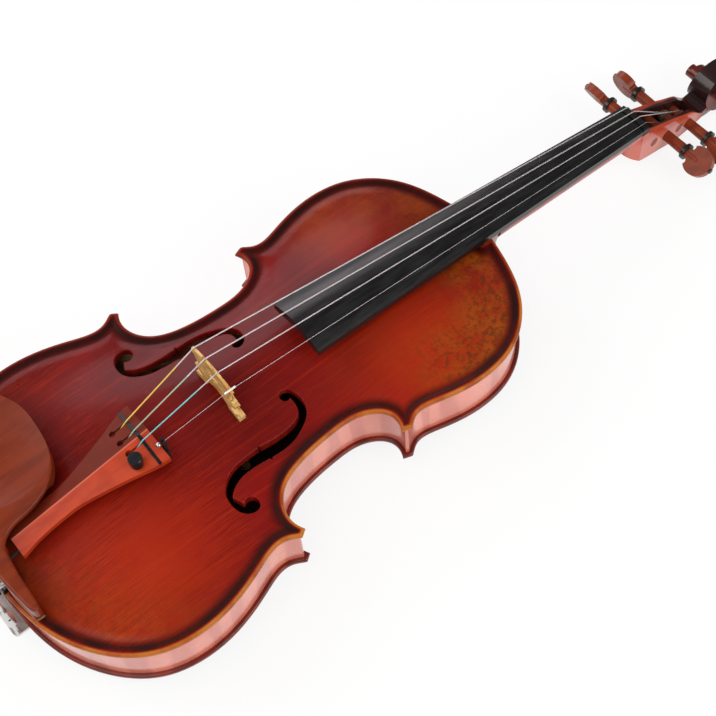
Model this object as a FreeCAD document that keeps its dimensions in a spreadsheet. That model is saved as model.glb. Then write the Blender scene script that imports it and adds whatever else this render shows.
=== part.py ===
import FreeCAD, Part
import math
import os

import Sketcher
from FreeCAD import Vector

# A four-string violin lying on its back. X runs to the treble side, Y from the
# tail to the scroll, Z up from the back to the belly. All lengths are in
# millimetres. Heights are measured from the lowest point of the back, places
# along the body from its tail edge.

# Driving dimensions: alias, value, meaning
SIZES = [
    ("body_length", 356.0, "length of the plates"),
    ("lower_bout", 208.0, "width of the lower bout"),
    ("waist", 111.0, "width of the waist"),
    ("upper_bout", 168.4, "width of the upper bout"),
    ("rib_height", 31.0, "height of the ribs"),
    ("rib_thick", 1.2, "thickness of the ribs"),
    ("overhang", 2.5, "plate edge beyond the ribs"),
    ("edge_thick", 4.0, "thickness of the plates at the edge"),
    ("top_arch", 11.5, "rise of the belly above its edge"),
    ("back_arch", 11.0, "drop of the back below its edge"),
    ("top_wall", 3.0, "thickness of the belly at its centre"),
    ("back_wall", 4.4, "thickness of the back at its centre"),
    ("margin", 6.0, "flat width of the plate edge"),
    ("inner_margin", 8.0, "gluing width inside the plate edge"),
    ("inner_drop", 2.0, "start of the hollowing under the gluing plane"),
    ("purfling_inset", 4.0, "edge to purfling"),
    ("purfling_width", 1.3, "width of the purfling"),
    ("purfling_depth", 1.8, "depth of the purfling"),
    ("button_radius", 10.5, "radius of the back button"),
    ("button_reach", 3.0, "centre of the button beyond the body"),
    ("block_width", 48.0, "width of the neck and end blocks"),
    ("neck_block_depth", 17.0, "neck block along the body"),
    ("end_block_depth", 15.0, "end block along the body"),
    ("corner_block_reach", 20.0, "corner block from the corner inwards"),
    ("lining_thick", 2.0, "thickness of the linings"),
    ("lining_height", 8.0, "height of the linings"),
    ("bar_length", 266.0, "length of the bass bar"),
    ("bar_width", 5.5, "width of the bass bar"),
    ("bar_depth", 10.5, "depth of the bass bar at the bridge"),
    ("bar_end_depth", 4.5, "depth of the bass bar at its ends"),
    ("bar_offset", 15.5, "centre of the bass bar from the middle"),
    ("post_radius", 3.1, "radius of the soundpost"),
    ("post_offset", 20.5, "soundpost from the middle"),
    ("post_setback", 5.5, "soundpost behind the bridge"),
    ("f_length", 70.0, "length of an f-hole"),
    ("f_upper", 22.8, "upper eye from the middle"),
    ("f_lower", 62.6, "lower eye from the middle"),
    ("f_upper_eye", 3.1, "radius of the upper eye"),
    ("f_lower_eye", 4.5, "radius of the lower eye"),
    ("f_nick", 1.3, "depth of the nicks"),
    ("neck_stop", 130.5, "body edge to nut"),
    ("overstand", 3.3, "neck above the belly edge"),
    ("neck_angle", 6.65, "slope of the neck in degrees"),
    ("neck_depth_nut", 12.8, "depth of the neck wood at the nut"),
    ("neck_depth_heel", 13.8, "depth of the neck wood at the heel"),
    ("root_depth", 5.5, "neck root let into the block"),
    ("root_width", 31.0, "width of the neck root at the belly"),
    ("foot_width", 20.0, "width of the heel at the button"),
    ("board_length", 270.0, "length of the fingerboard"),
    ("board_nut_width", 24.0, "width of the fingerboard at the nut"),
    ("board_end_width", 41.8, "width of the fingerboard at its end"),
    ("board_radius", 42.0, "radius across the fingerboard"),
    ("board_nut_side", 4.0, "side height of the fingerboard at the nut"),
    ("board_end_side", 4.5, "side height of the fingerboard at its end"),
    ("board_hollow", 3.0, "depth of the hollow under the fingerboard"),
    ("nut_depth", 5.5, "nut along the neck"),
    ("nut_rise", 0.5, "nut above the fingerboard"),
    ("pegbox_nut_width", 25.0, "width of the pegbox at the nut"),
    ("pegbox_end_width", 16.8, "width of the pegbox at the throat"),
    ("pegbox_length", 74.0, "nut to throat"),
    ("head_tilt", 10.0, "back tilt of the pegbox in degrees"),
    ("pegbox_depth", 25.0, "depth of the pegbox below the line of its tilt"),
    ("pegbox_floor", 4.0, "floor under the peg cavity"),
    ("cheek", 4.3, "thickness of the pegbox cheeks"),
    ("cheek_fall", 11.0, "fall of the cheeks from the nut to the throat"),
    ("scroll_reach", 104.5, "nut to the end of the scroll"),
    ("scroll_radius", 20.0, "radius of the volute"),
    ("scroll_drop", 1.0, "eye of the volute below the line of its tilt"),
    ("eye_width", 41.0, "width across the eyes"),
    ("eye_radius", 4.6, "radius of the eyes"),
    ("peg_radius", 3.9, "radius of a peg at its collar"),
    ("peg_tip_radius", 3.3, "radius of a peg at its small end"),
    ("peg_fit", 0.05, "running clearance of the pegs"),
    ("peg_drop", 13.0, "peg axis below the line of the head's tilt"),
    ("peg_stand", 17.2, "cheek to collar"),
    ("peg_collar_radius", 5.6, "radius of the peg collar"),
    ("peg_collar_width", 2.4, "width of the peg collar"),
    ("peg_neck_radius", 3.2, "radius of the peg beyond the collar"),
    ("peg_neck_length", 3.6, "collar to head"),
    ("peg_head_radius", 10.0, "radius of the peg head"),
    ("peg_head_thick", 5.6, "thickness of the peg head"),
    ("peg_pin_radius", 1.7, "radius of the pin on the peg head"),
    ("peg_pin_length", 1.4, "length of the pin on the peg head"),
    ("peg_notch_radius", 2.4, "notch beside the peg head"),
    ("body_stop", 195.0, "body edge to bridge"),
    ("bridge_height", 32.7, "height of the bridge"),
    ("bridge_width", 41.5, "width across the feet"),
    ("bridge_foot_thick", 4.6, "thickness at the feet"),
    ("bridge_top_thick", 1.5, "thickness at the top"),
    ("bridge_top_radius", 42.0, "radius of the bridge top"),
    ("bridge_tilt", 0.0714, "fall of the bridge top to the treble side"),
    ("string_spread_bridge", 33.6, "outer strings at the bridge"),
    ("string_spread_nut", 16.5, "outer strings at the nut"),
    ("string_g_radius", 0.40, "radius of the G string"),
    ("string_d_radius", 0.40, "radius of the D string"),
    ("string_a_radius", 0.34, "radius of the A string"),
    ("string_e_radius", 0.14, "radius of the E string"),
    ("string_clear", 0.3, "clearance between strings and wood"),
    ("winding_pitch", 1.45, "pitch of the turns on a peg"),
    ("winding_turns", 2.5, "turns on a peg"),
    ("tail_length", 93.0, "length of the tailpiece"),
    ("tail_end_gap", 20.0, "body edge to the small end of the tailpiece"),
    ("tail_wide", 42.8, "width of the tailpiece at the strings"),
    ("tail_small", 22.4, "width of the tailpiece at the tailgut"),
    ("tail_high", 74.3, "height of the tailpiece edge at the strings"),
    ("tail_low", 60.6, "height of the tailpiece edge at the tailgut"),
    ("tail_ridge", 3.0, "ridge above the tailpiece edges"),
    ("tail_side", 3.4, "side height of the tailpiece"),
    ("tail_hollow", 2.0, "hollow under the tailpiece"),
    ("fret_setback", 6.0, "fret from the end of the tailpiece"),
    ("fret_width", 1.8, "width of the tailpiece fret"),
    ("fret_rise", 0.9, "fret above the tailpiece"),
    ("slot_spacing", 8.3, "spacing of the string slots"),
    ("slot_hole_radius", 1.9, "radius of the key hole"),
    ("slot_width", 1.3, "width of the string slot"),
    ("slot_length", 8.6, "length of the string slot"),
    ("ball_radius", 1.6, "radius of a string ball"),
    ("gut_radius", 0.9, "radius of the tailgut"),
    ("saddle_width", 34.0, "width of the saddle"),
    ("saddle_depth", 6.0, "saddle along the body"),
    ("saddle_rise", 3.2, "saddle above the belly edge"),
    ("end_button_radius", 7.0, "radius of the end button"),
    ("end_button_head", 6.0, "length of the end button head"),
    ("end_button_neck", 4.4, "radius of the end button neck"),
    ("end_button_stand", 5.0, "rib to the end button head"),
    ("end_button_shank", 3.6, "radius of the end button shank"),
    ("tuner_screw_radius", 1.2, "radius of the fine tuner screw"),
    ("tuner_screw_fit", 0.05, "running clearance of the tuner screw"),
    ("tuner_knob_radius", 4.1, "radius of the fine tuner knob"),
    ("tuner_knob_length", 5.0, "length of the fine tuner knob"),
    ("tuner_travel", 1.2, "free thread under the knob"),
    ("tuner_plate", 1.4, "thickness of the fine tuner frame"),
    ("tuner_gauge", 5.2, "width of the fine tuner frame"),
    ("tuner_drop", 6.0, "pivot below the frame"),
    ("tuner_reach", 17.5, "screw to pivot"),
    ("tuner_ring", 1.6, "thickness of the ring nut"),
    ("tuner_pin_radius", 0.8, "radius of the pivot pin"),
    ("tuner_lever_thick", 1.8, "thickness of the lever"),
    ("hook_gap", 1.0, "slot of the lever hook"),
    ("rest_thick", 9.0, "thickness of the chin rest"),
    ("rest_top", 71.5, "top of the chin rest"),
    ("rest_depth", 68.0, "chin rest along the body"),
    ("rest_reach", 97.0, "chin rest to the bass side"),
    ("rest_arm_reach", 46.5, "arm of the chin rest to the treble side"),
    ("rest_dish", 4.0, "depth of the dish"),
    ("rest_lip", 5.0, "foot of the chin rest along the body"),
    ("cork_thick", 2.4, "cork between the chin rest and the body"),
    ("clamp_spacing", 40.0, "spacing of the clamp barrels"),
    ("clamp_stand", 5.2, "clamp barrels outside the body edge"),
    ("barrel_radius", 2.9, "radius of a clamp barrel"),
    ("barrel_length", 20.0, "length of a clamp barrel"),
    ("rod_radius", 1.5, "radius of a clamp rod"),
    ("rod_fit", 0.05, "running clearance of the clamp rods"),
    ("foot_thick", 2.0, "thickness of the clamp foot"),
    ("foot_reach", 8.0, "clamp foot under the back"),
    ("cut_over", 30.0, "overrun of the cuts"),
]


class Size:
    # A length with its value and the words that name it in the sheet
    def __init__(self, value, text):
        self.value = value
        self.text = text

    def join(self, sign, other, value):
        right = other.text if isinstance(other, Size) else repr(other)
        return Size(value, "(" + self.text + " " + sign + " " + right + ")")

    def __add__(self, other):
        return self.join("+", other, self.value + number(other))

    def __sub__(self, other):
        return self.join("-", other, self.value - number(other))

    def __mul__(self, other):
        return self.join("*", other, self.value * number(other))

    def __truediv__(self, other):
        return self.join("/", other, self.value / number(other))

    def __neg__(self):
        return Size(-self.value, "(0 - " + self.text + ")")


def number(item):
    return item.value if isinstance(item, Size) else float(item)


doc = FreeCAD.newDocument("Violin")
sheet = doc.addObject("Spreadsheet::Sheet", "Sizes")
for row, (alias, value, meaning) in enumerate(SIZES, start=1):
    sheet.set("A" + str(row), alias)
    sheet.set("B" + str(row), str(value))
    sheet.set("C" + str(row), meaning)
    sheet.setAlias("B" + str(row), alias)
doc.recompute()


def size(alias):
    return Size(float(sheet.get(alias)), "Sizes." + alias)


def mm(alias):
    return float(sheet.get(alias))


# Heights
back_plane = size("back_arch") + size("edge_thick")
top_plane = back_plane + size("rib_height")
top_edge = top_plane + size("edge_thick")
z_back_edge = mm("back_arch")
z_back_plane = number(back_plane)
z_top_plane = number(top_plane)
z_top_edge = number(top_edge)
z_apex = z_top_edge + mm("top_arch")

# Places along the body, from its tail edge
nut_place = size("body_length") + size("neck_stop")
bridge_place = size("body_length") - size("body_stop")
button_end = size("end_button_stand") + size("end_button_head") - size("overhang")
HEAD_SLOPE = math.radians(mm("neck_angle") + mm("head_tilt"))
head_run = Size((mm("scroll_reach") - mm("scroll_radius")) * math.cos(HEAD_SLOPE)
                - mm("scroll_drop") * math.sin(HEAD_SLOPE) + mm("scroll_radius"),
                "((Sizes.scroll_reach - Sizes.scroll_radius) * cos(Sizes.neck_angle + Sizes.head_tilt)"
                " - Sizes.scroll_drop * sin(Sizes.neck_angle + Sizes.head_tilt) + Sizes.scroll_radius)")
tail_shift = -(nut_place + head_run - button_end) / 2
y_nut = number(nut_place)
y_bridge = number(bridge_place)
y_neck = mm("body_length")
wall = mm("overhang") + mm("rib_thick")
over = mm("cut_over")

nodes = []


def bind(item, prop, length):
    # A numbered constraint or a named property follows the sheet
    if isinstance(length, Size):
        item.setExpression(prop, length.text)


def place(item, x=0.0, y=0.0, z=0.0, turn=None):
    # Seat an object at its place on the body, with the tail shift added
    along = (tail_shift + y) if isinstance(y, Size) else tail_shift
    rotation = turn or FreeCAD.Rotation()
    item.Placement = FreeCAD.Placement(Vector(number(x), number(along), number(z)), rotation)
    bind(item, "Placement.Base.x", x)
    bind(item, "Placement.Base.y", along)
    bind(item, "Placement.Base.z", z)


def node(item, label):
    item.Label = label
    nodes.append(item)
    return item


def shape_node(label, shape):
    # A piece with free curves, made in body coordinates
    item = doc.addObject("Part::Feature", label)
    item.Shape = shape
    place(item)
    return node(item, label)


def part_cylinder(name, radius, height, x, y, z, turn=None):
    item = doc.addObject("Part::Cylinder", name)
    item.Radius = number(radius)
    item.Height = number(height)
    bind(item, "Radius", radius)
    bind(item, "Height", height)
    place(item, x, y, z, turn)
    return item


def part_join(kind, name, base, tool):
    item = doc.addObject(kind, name)
    item.Base = base
    item.Tool = tool
    return item


def plane_of(body, role):
    for feature in body.Origin.OriginFeatures:
        if feature.Role == role:
            return feature
    raise ValueError(role)


def new_sketch(body, name, role):
    sketch = body.newObject("Sketcher::SketchObject", name)
    sketch.AttachmentSupport = (plane_of(body, role), [""])
    sketch.MapMode = "FlatFace"
    return sketch


def draw_polygon(sketch, corners):
    # A closed outline whose every corner is held by two lengths from the origin
    spots = [Vector(number(x), number(y), 0) for x, y in corners]
    count = len(spots)
    for i in range(count):
        sketch.addGeometry(Part.LineSegment(spots[i], spots[(i + 1) % count]), False)
    for i in range(count):
        sketch.addConstraint(Sketcher.Constraint("Coincident", i, 2, (i + 1) % count, 1))
    for i, (x, y) in enumerate(corners):
        for kind, length in (("DistanceX", x), ("DistanceY", y)):
            if isinstance(length, Size):
                entry = Sketcher.Constraint(kind, -1, 1, i, 1, number(length))
                index = sketch.addConstraint(entry)
                sketch.setExpression("Constraints[" + str(index) + "]", length.text)
            else:
                axis = -2 if kind == "DistanceX" else -1
                sketch.addConstraint(Sketcher.Constraint("PointOnObject", i, 1, axis))


def draw_circle(sketch, x, y, radius):
    centre = Vector(number(x), number(y), 0)
    index = sketch.addGeometry(Part.Circle(centre, Vector(0, 0, 1), number(radius)), False)
    for kind, length in (("DistanceX", x), ("DistanceY", y)):
        if isinstance(length, Size):
            entry = Sketcher.Constraint(kind, -1, 1, index, 3, number(length))
            held = sketch.addConstraint(entry)
            sketch.setExpression("Constraints[" + str(held) + "]", length.text)
        else:
            axis = -2 if kind == "DistanceX" else -1
            sketch.addConstraint(Sketcher.Constraint("PointOnObject", index, 3, axis))
    held = sketch.addConstraint(Sketcher.Constraint("Radius", index, number(radius)))
    sketch.setExpression("Constraints[" + str(held) + "]", radius.text)


def turned_body(label, corners):
    # A lathe piece: its outline beside the local Z axis, turned once round
    body = doc.addObject("PartDesign::Body", label)
    sketch = new_sketch(body, label + "_outline", "XZ_Plane")
    draw_polygon(sketch, corners)
    turn = body.newObject("PartDesign::Revolution", label + "_turning")
    turn.Profile = sketch
    turn.ReferenceAxis = (sketch, ["V_Axis"])
    turn.Angle = 360
    sketch.Visibility = False
    return body


# Curves in the plane of the plates

def spline(points, start=None, end=None):
    curve = Part.BSplineCurve()
    if start is None and end is None:
        curve.interpolate(Points=points)
    else:
        first = Vector(start or (points[1] - points[0])).normalize()
        last = Vector(end or (points[-1] - points[-2])).normalize()
        curve.interpolate(Points=points, InitialTangent=first, FinalTangent=last, Scale=False)
    return curve


# Outline of the treble half: shares of half a bout's width and of the length.
# Waist points lie between the waist and the corner beside them.
LOWER_SHARES = [(0, 0), (0.430, 0.0133), (0.732, 0.0556), (0.939, 0.1244), (1.0, 0.2),
                (0.915, 0.324), (0.875, 0.387), (0.912, 0.407)]
UPPER_SHARES = [(0.975, 0.657), (0.923, 0.675), (0.942, 0.726), (1.0, 0.815), (0.952, 0.8764),
                (0.698, 0.951), (0.325, 0.988), (0, 1)]
LOWER_CORNER_SHARES = (0.884, 0.4191)
UPPER_CORNER_SHARES = (0.950, 0.6407)
WAIST_LOW_SHARES = [(0.619, 0.4129), (0.334, 0.4292), (0.068, 0.4888)]
WAIST_SHARE = 0.5553
WAIST_HIGH_SHARES = [(0.069, 0.6076), (0.427, 0.6421)]


def plan_curves():
    length = mm("body_length")
    low = mm("lower_bout") / 2
    mid = mm("waist") / 2
    high = mm("upper_bout") / 2
    lower = [Vector(x * low, y * length, 0) for x, y in LOWER_SHARES]
    upper = [Vector(x * high, y * length, 0) for x, y in UPPER_SHARES]
    low_tip = Vector(LOWER_CORNER_SHARES[0] * low, LOWER_CORNER_SHARES[1] * length, 0)
    high_tip = Vector(UPPER_CORNER_SHARES[0] * high, UPPER_CORNER_SHARES[1] * length, 0)
    waist = [low_tip]
    for share, y in WAIST_LOW_SHARES:
        waist.append(Vector(mid + share * (low_tip.x - mid), y * length, 0))
    waist.append(Vector(mid, WAIST_SHARE * length, 0))
    for share, y in WAIST_HIGH_SHARES:
        waist.append(Vector(mid + share * (high_tip.x - mid), y * length, 0))
    waist.append(high_tip)
    return {"lower": spline(lower, start=Vector(low, 0, 0)),
            "waist": spline(waist),
            "upper": spline(upper, end=Vector(-high, 0, 0))}


CURVES = plan_curves()
SAMPLES = 36


def inset_curve(curve, distance, before=0.0, beyond=0.0):
    # The same curve, moved to the inside of the body by a distance, its ends drawn out
    first, last = curve.FirstParameter, curve.LastParameter
    points = []
    for i in range(SAMPLES + 1):
        spot = first + (last - first) * i / SAMPLES
        tangent = curve.tangent(spot)[0]
        inward = Vector(-tangent.y, tangent.x, 0)
        points.append(curve.value(spot) + inward * distance)
    if before:
        points.insert(0, points[0] - curve.tangent(first)[0].normalize() * before)
    if beyond:
        points.append(points[-1] + curve.tangent(last)[0].normalize() * beyond)
    return spline(points)


def corner_curves(distance):
    # Inset curves that run on past the corners
    reach = mm("overhang")
    ends = {"lower": (0.0, reach), "waist": (reach, reach), "upper": (reach, 0.0)}
    return {name: inset_curve(CURVES[name], distance, *ends[name]) for name in ends}


def crossing(one, two):
    found = one.toShape().distToShape(two.toShape())
    return found[1][0][0]


def trimmed(curve, start=None, end=None):
    first, last = curve.FirstParameter, curve.LastParameter
    low = curve.parameter(start) if start else first
    high = curve.parameter(end) if end else last
    return Part.Edge(curve, low, high)


def inner_face(distance):
    # The body's plan, drawn in by a distance that is past the corner tips
    inset = corner_curves(distance)
    low = crossing(inset["lower"], inset["waist"])
    high = crossing(inset["waist"], inset["upper"])
    half = [trimmed(inset["lower"], end=low),
            trimmed(inset["waist"], start=low, end=high),
            trimmed(inset["upper"], start=high)]
    other = [edge.mirror(Vector(0, 0, 0), Vector(1, 0, 0)) for edge in half]
    return Part.Face(Part.Wire(Part.__sortEdges__(half + other)))


def plan_face():
    edges = []
    for sign in (1, -1):
        lower, waist, upper = (CURVES[n].toShape() for n in ("lower", "waist", "upper"))
        half = [lower, Part.makeLine(CURVES["lower"].EndPoint, CURVES["waist"].StartPoint),
                waist, Part.makeLine(CURVES["waist"].EndPoint, CURVES["upper"].StartPoint), upper]
        if sign < 0:
            half = [edge.mirror(Vector(0, 0, 0), Vector(1, 0, 0)) for edge in half]
        edges += half
    return Part.Face(Part.Wire(Part.__sortEdges__(edges)))


def prism(face, low, high):
    base = face.copy()
    base.translate(Vector(0, 0, low))
    return base.extrude(Vector(0, 0, high - low))


def face_of(points):
    return Part.Face(Part.makePolygon(points + [points[0]]))


def box(x0, x1, y0, y1, z0, z1):
    return Part.makeBox(x1 - x0, y1 - y0, z1 - z0, Vector(x0, y0, z0))


# Arching of the plates

# Half-width of the arched field along the body: place along the length, and
# weights of half the lower bout, waist and upper bout
FIELD_SHARES = [(0.0, 0.78, 0, 0), (0.06, 0.86, 0, 0), (0.2, 1.0, 0, 0), (0.31, 0.93, 0, 0),
                (0.40, 0.45, 0.60, 0), (0.47, 0.12, 0.92, 0), (0.555, 0, 1.03, 0),
                (0.63, 0, 0.90, 0.15), (0.69, 0, 0.45, 0.60), (0.76, 0, 0, 0.96),
                (0.82, 0, 0, 1.0), (0.92, 0, 0, 0.92), (1.0, 0, 0, 0.80)]
CROSS_POWER = 1.15
LONG_POWER = 1.9
ROWS = 45
COLUMNS = 33


def field_curve():
    points = []
    for share, low, mid, high in FIELD_SHARES:
        wide = low * mm("lower_bout") + mid * mm("waist") + high * mm("upper_bout")
        points.append(Vector(share * mm("body_length"), wide / 2, 0))
    return spline(points)


FIELD = field_curve()


def field_half(y):
    low, high = FIELD.FirstParameter, FIELD.LastParameter
    for _ in range(30):
        middle = (low + high) / 2
        if FIELD.value(middle).x < y:
            low = middle
        else:
            high = middle
    return FIELD.value((low + high) / 2).y


def fullness(x, y, margin):
    # 1 along the middle of the plate, 0 at its edge, level at both
    half_long = mm("body_length") / 2 - margin
    along = min(abs(y - mm("body_length") / 2) / half_long, 1.0)
    across = min(abs(x) / (field_half(y) - margin), 1.0)
    lengthwise = 0.5 + 0.5 * math.cos(math.pi * along ** LONG_POWER)
    crosswise = 0.5 + 0.5 * math.cos(math.pi * across ** CROSS_POWER)
    return lengthwise * crosswise


def arch_surface(height_at):
    reach = mm("margin")
    half = mm("lower_bout") / 2 + reach
    grid = []
    for row in range(ROWS):
        y = -reach + (mm("body_length") + 4 * reach) * row / (ROWS - 1)
        line = []
        for column in range(COLUMNS):
            x = half * (2 * column / (COLUMNS - 1) - 1)
            inside = min(max(y, 0.0), mm("body_length"))
            line.append(Vector(x, y, height_at(x, inside)))
        grid.append(line)
    surface = Part.BSplineSurface()
    surface.interpolate(grid)
    return surface.toShape()


def top_height(x, y):
    return z_top_edge + mm("top_arch") * fullness(x, y, mm("margin"))


def top_inner_height(x, y):
    start = z_top_plane - mm("inner_drop")
    rise = z_apex - mm("top_wall") - start
    return start + rise * fullness(x, y, mm("inner_margin"))


def back_height(x, y):
    return z_back_edge - mm("back_arch") * fullness(x, y, mm("margin"))


def back_inner_height(x, y):
    start = z_back_plane + mm("inner_drop")
    return start - (start - mm("back_wall")) * fullness(x, y, mm("inner_margin"))


TOP_SKIN = arch_surface(top_height)
TOP_INSIDE = arch_surface(top_inner_height)
BACK_SKIN = arch_surface(back_height)
BACK_INSIDE = arch_surface(back_inner_height)
UNDER_TOP_SKIN = TOP_SKIN.extrude(Vector(0, 0, -over))
OVER_TOP_SKIN = TOP_SKIN.extrude(Vector(0, 0, over))
UNDER_TOP_INSIDE = TOP_INSIDE.extrude(Vector(0, 0, -over))
UNDER_BACK_SKIN = BACK_SKIN.extrude(Vector(0, 0, -over))
OVER_BACK_INSIDE = BACK_INSIDE.extrude(Vector(0, 0, over))

# Shares of the length of the f-hole, from its lower end, and of the distance
# between its eyes, from the upper eye: first the outer edge, then the inner
F_OUTER_SHARES = [(-0.078, 0.905), (-0.03, 0.962), (0.08, 0.993), (0.28, 0.992), (0.40, 0.945),
                  (0.50, 0.855), (0.575, 0.745), (0.605, 0.62), (0.60, 0.50), (0.585, 0.36),
                  (0.60, 0.22), (0.665, 0.115), (0.77, 0.045)]
F_INNER_SHARES = [(0.06, 0.930), (0.18, 0.936), (0.29, 0.915), (0.375, 0.83), (0.405, 0.70),
                  (0.405, 0.58), (0.395, 0.47), (0.405, 0.33), (0.44, 0.195), (0.54, 0.085),
                  (0.68, 0.018), (0.85, 0.003), (1.0, 0.026), (1.10, 0.09), (1.113, 0.14)]
F_NICK_SPOTS = (8, 6)
F_UPPER_EYE_SHARE = 0.905
F_LOWER_EYE_SHARE = 0.135
F_LOW_SHARE = 0.3525


def f_hole_cut(sign):
    # Eyes, stem and nicks of one f-hole, cut through the belly
    low = F_LOW_SHARE * mm("body_length")
    reach = mm("f_lower") - mm("f_upper")

    def spot(share):
        return Vector(sign * (mm("f_upper") + share[0] * reach), low + share[1] * mm("f_length"), 0)

    outer = [spot(share) for share in F_OUTER_SHARES]
    inner = [spot(share) for share in F_INNER_SHARES]
    stem = Part.Wire([spline(outer).toShape(), Part.makeLine(outer[-1], inner[-1]),
                      spline(inner[::-1]).toShape(), Part.makeLine(inner[0], outer[0])])
    low_z = z_top_plane - mm("edge_thick")
    high_z = z_apex + mm("edge_thick")
    cut = prism(Part.Face(stem), low_z, high_z)
    for share, radius, x in ((F_UPPER_EYE_SHARE, mm("f_upper_eye"), mm("f_upper")),
                             (F_LOWER_EYE_SHARE, mm("f_lower_eye"), mm("f_lower"))):
        centre = Vector(sign * x, low + share * mm("f_length"), low_z)
        cut = cut.fuse(Part.makeCylinder(radius, high_z - low_z, centre))
    nick = mm("f_nick")
    for edge, spot_index, way in ((outer, F_NICK_SPOTS[0], 1), (inner, F_NICK_SPOTS[1], -1)):
        root = edge[spot_index]
        tip = root + Vector(sign * way * nick, 0, 0)
        back_off = Vector(sign * way * -nick, 0, 0)
        corners = [root + back_off + Vector(0, nick, 0), tip, root + back_off - Vector(0, nick, 0)]
        cut = cut.fuse(prism(face_of(corners), low_z, high_z))
    return cut


# Strips that follow the plan, mitred at the corners

def corner_frames():
    # Mitre of each corner: a point on it, its outward direction, its end
    frames = {}
    outer = corner_curves(wall)
    inner = corner_curves(wall * 2)
    for name, one, two in (("low", "lower", "waist"), ("high", "waist", "upper")):
        near = crossing(outer[one], outer[two])
        far = crossing(inner[one], inner[two])
        way = (near - far).normalize()
        tip = (CURVES[one].EndPoint + CURVES[two].StartPoint) * 0.5
        frames[name] = (near, way, tip.dot(way))
    return frames


FRAMES = corner_frames()


def side_wedge(frame, side, low, high):
    # Everything to one side of a mitre
    point, way, _ = frame
    across = Vector(-way.y, way.x, 0) * side
    reach = over * 2
    corners = [point + way * reach, point - way * reach,
               point - way * reach + across * reach, point + way * reach + across * reach]
    return prism(face_of(corners), low, high)


def end_wedge(frame, setback, low, high):
    # Everything beyond a distance behind the tip of a corner
    point, way, tip = frame
    start = point + way * (tip - setback - point.dot(way))
    across = Vector(-way.y, way.x, 0) * over
    corners = [start + across, start - across, start - across + way * over,
               start + across + way * over]
    return prism(face_of(corners), low, high)


def strip(bout, outer, inner, low, high):
    # One treble strip between two insets of a bout's curve
    far = corner_curves(outer)[bout]
    near = corner_curves(inner)[bout]
    edges = [far.toShape(), Part.makeLine(far.EndPoint, near.EndPoint), near.toShape(),
             Part.makeLine(near.StartPoint, far.StartPoint)]
    return prism(Part.Face(Part.Wire(Part.__sortEdges__(edges))), low, high)


def mitred_strip(bout, outer, inner, low, high):
    band = strip(bout, outer, inner, low, high)
    for name, sides in (("low", {"lower": 1, "waist": -1}), ("high", {"waist": 1, "upper": -1})):
        if bout in sides:
            band = band.cut(side_wedge(FRAMES[name], sides[bout], low - over, high + over))
            band = band.cut(end_wedge(FRAMES[name], mm("overhang"), low - over, high + over))
    return largest(band)


def largest(shape):
    return max(shape.Solids, key=lambda solid: solid.Volume)


def flip(shape):
    return shape.mirror(Vector(0, 0, 0), Vector(1, 0, 0))


def one_solid(shape):
    solids = shape.Solids
    if len(solids) != 1:
        raise ValueError("expected one solid, found " + str(len(solids)))
    return solids[0]


# Lines of the neck and the string length

SLOPE = math.radians(mm("neck_angle"))
Z_NECK_NUT = z_top_edge + mm("overstand") - math.tan(SLOPE) * mm("neck_stop")


def neck_line(y):
    # Height of the glued face of the neck
    return Z_NECK_NUT + math.tan(SLOPE) * (y_nut - y)


def sloped_point(u, v, x, slope):
    # A point beyond the nut: along a sloping line, and square to it
    return Vector(x, y_nut + u * math.cos(slope) + v * math.sin(slope),
                  Z_NECK_NUT - u * math.sin(slope) + v * math.cos(slope))


def neck_point(u, v, x=0.0):
    return sloped_point(u, v, x, SLOPE)


def head_point(u, v, x=0.0):
    # The head leans back from the neck's line
    return sloped_point(u, v, x, HEAD_SLOPE)


def board_half(y):
    share = (y_nut - y) / mm("board_length")
    return (mm("board_nut_width") + share * (mm("board_end_width") - mm("board_nut_width"))) / 2


def board_side(y):
    share = (y_nut - y) / mm("board_length")
    return mm("board_nut_side") + share * (mm("board_end_side") - mm("board_nut_side"))


def crown(half, radius):
    # Rise of an arc over its chord
    return radius - math.sqrt(radius ** 2 - half ** 2)


def board_top(y):
    return neck_line(y) + board_side(y) + crown(board_half(y), mm("board_radius"))


# Soundbox

def make_heel():
    # Foot of the neck: level sections from the back button up to the belly
    low = z_back_plane
    high = neck_line(y_neck)
    wires = []
    for height, width, reach in HEEL_SHARES:
        half = (mm("foot_width") + width * (mm("root_width") - mm("foot_width"))) / 2
        deep = reach * (mm("button_radius") + mm("button_reach"))
        z = low + height * (high - low)
        root = y_neck - wall - mm("root_depth")
        corners = [Vector(-half, y_neck, z), Vector(-half, root, z), Vector(half, root, z),
                   Vector(half, y_neck, z)]
        nose = []
        for i in range(ROUND_STEPS + 1):
            angle = math.pi * i / ROUND_STEPS
            nose.append(Vector(half * math.cos(angle), y_neck + deep * math.sin(angle), z))
        edges = [Part.makeLine(corners[i], corners[i + 1]) for i in range(3)]
        wires.append(Part.Wire(edges + [spline(nose, start=Vector(0, 1, 0), end=Vector(0, -1, 0))
                                        .toShape()]))
    return Part.makeLoft(wires, True, False)


# Height between button and neck line, width between foot and root, and
# reach beyond the body as a share of the button's
HEEL_SHARES = [(0.0, 0.0, 0.98), (0.30, 0.15, 0.90), (0.60, 0.45, 0.98), (0.85, 0.85, 1.45),
               (1.15, 1.0, 2.4)]
ROUND_STEPS = 8
HEEL = make_heel()

INNER = inner_face(wall)
INNER_PRISM = prism(INNER, z_back_plane, z_top_plane)


def purfling_ring(low, high):
    outer = prism(inner_face(mm("purfling_inset")), low, high)
    inner = prism(inner_face(mm("purfling_inset") + mm("purfling_width")), low - over, high + over)
    return outer.cut(inner)


def saddle_room():
    half = mm("saddle_width") / 2
    return box(-half, half, -over, mm("saddle_depth"), z_top_plane - over, z_apex)


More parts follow.
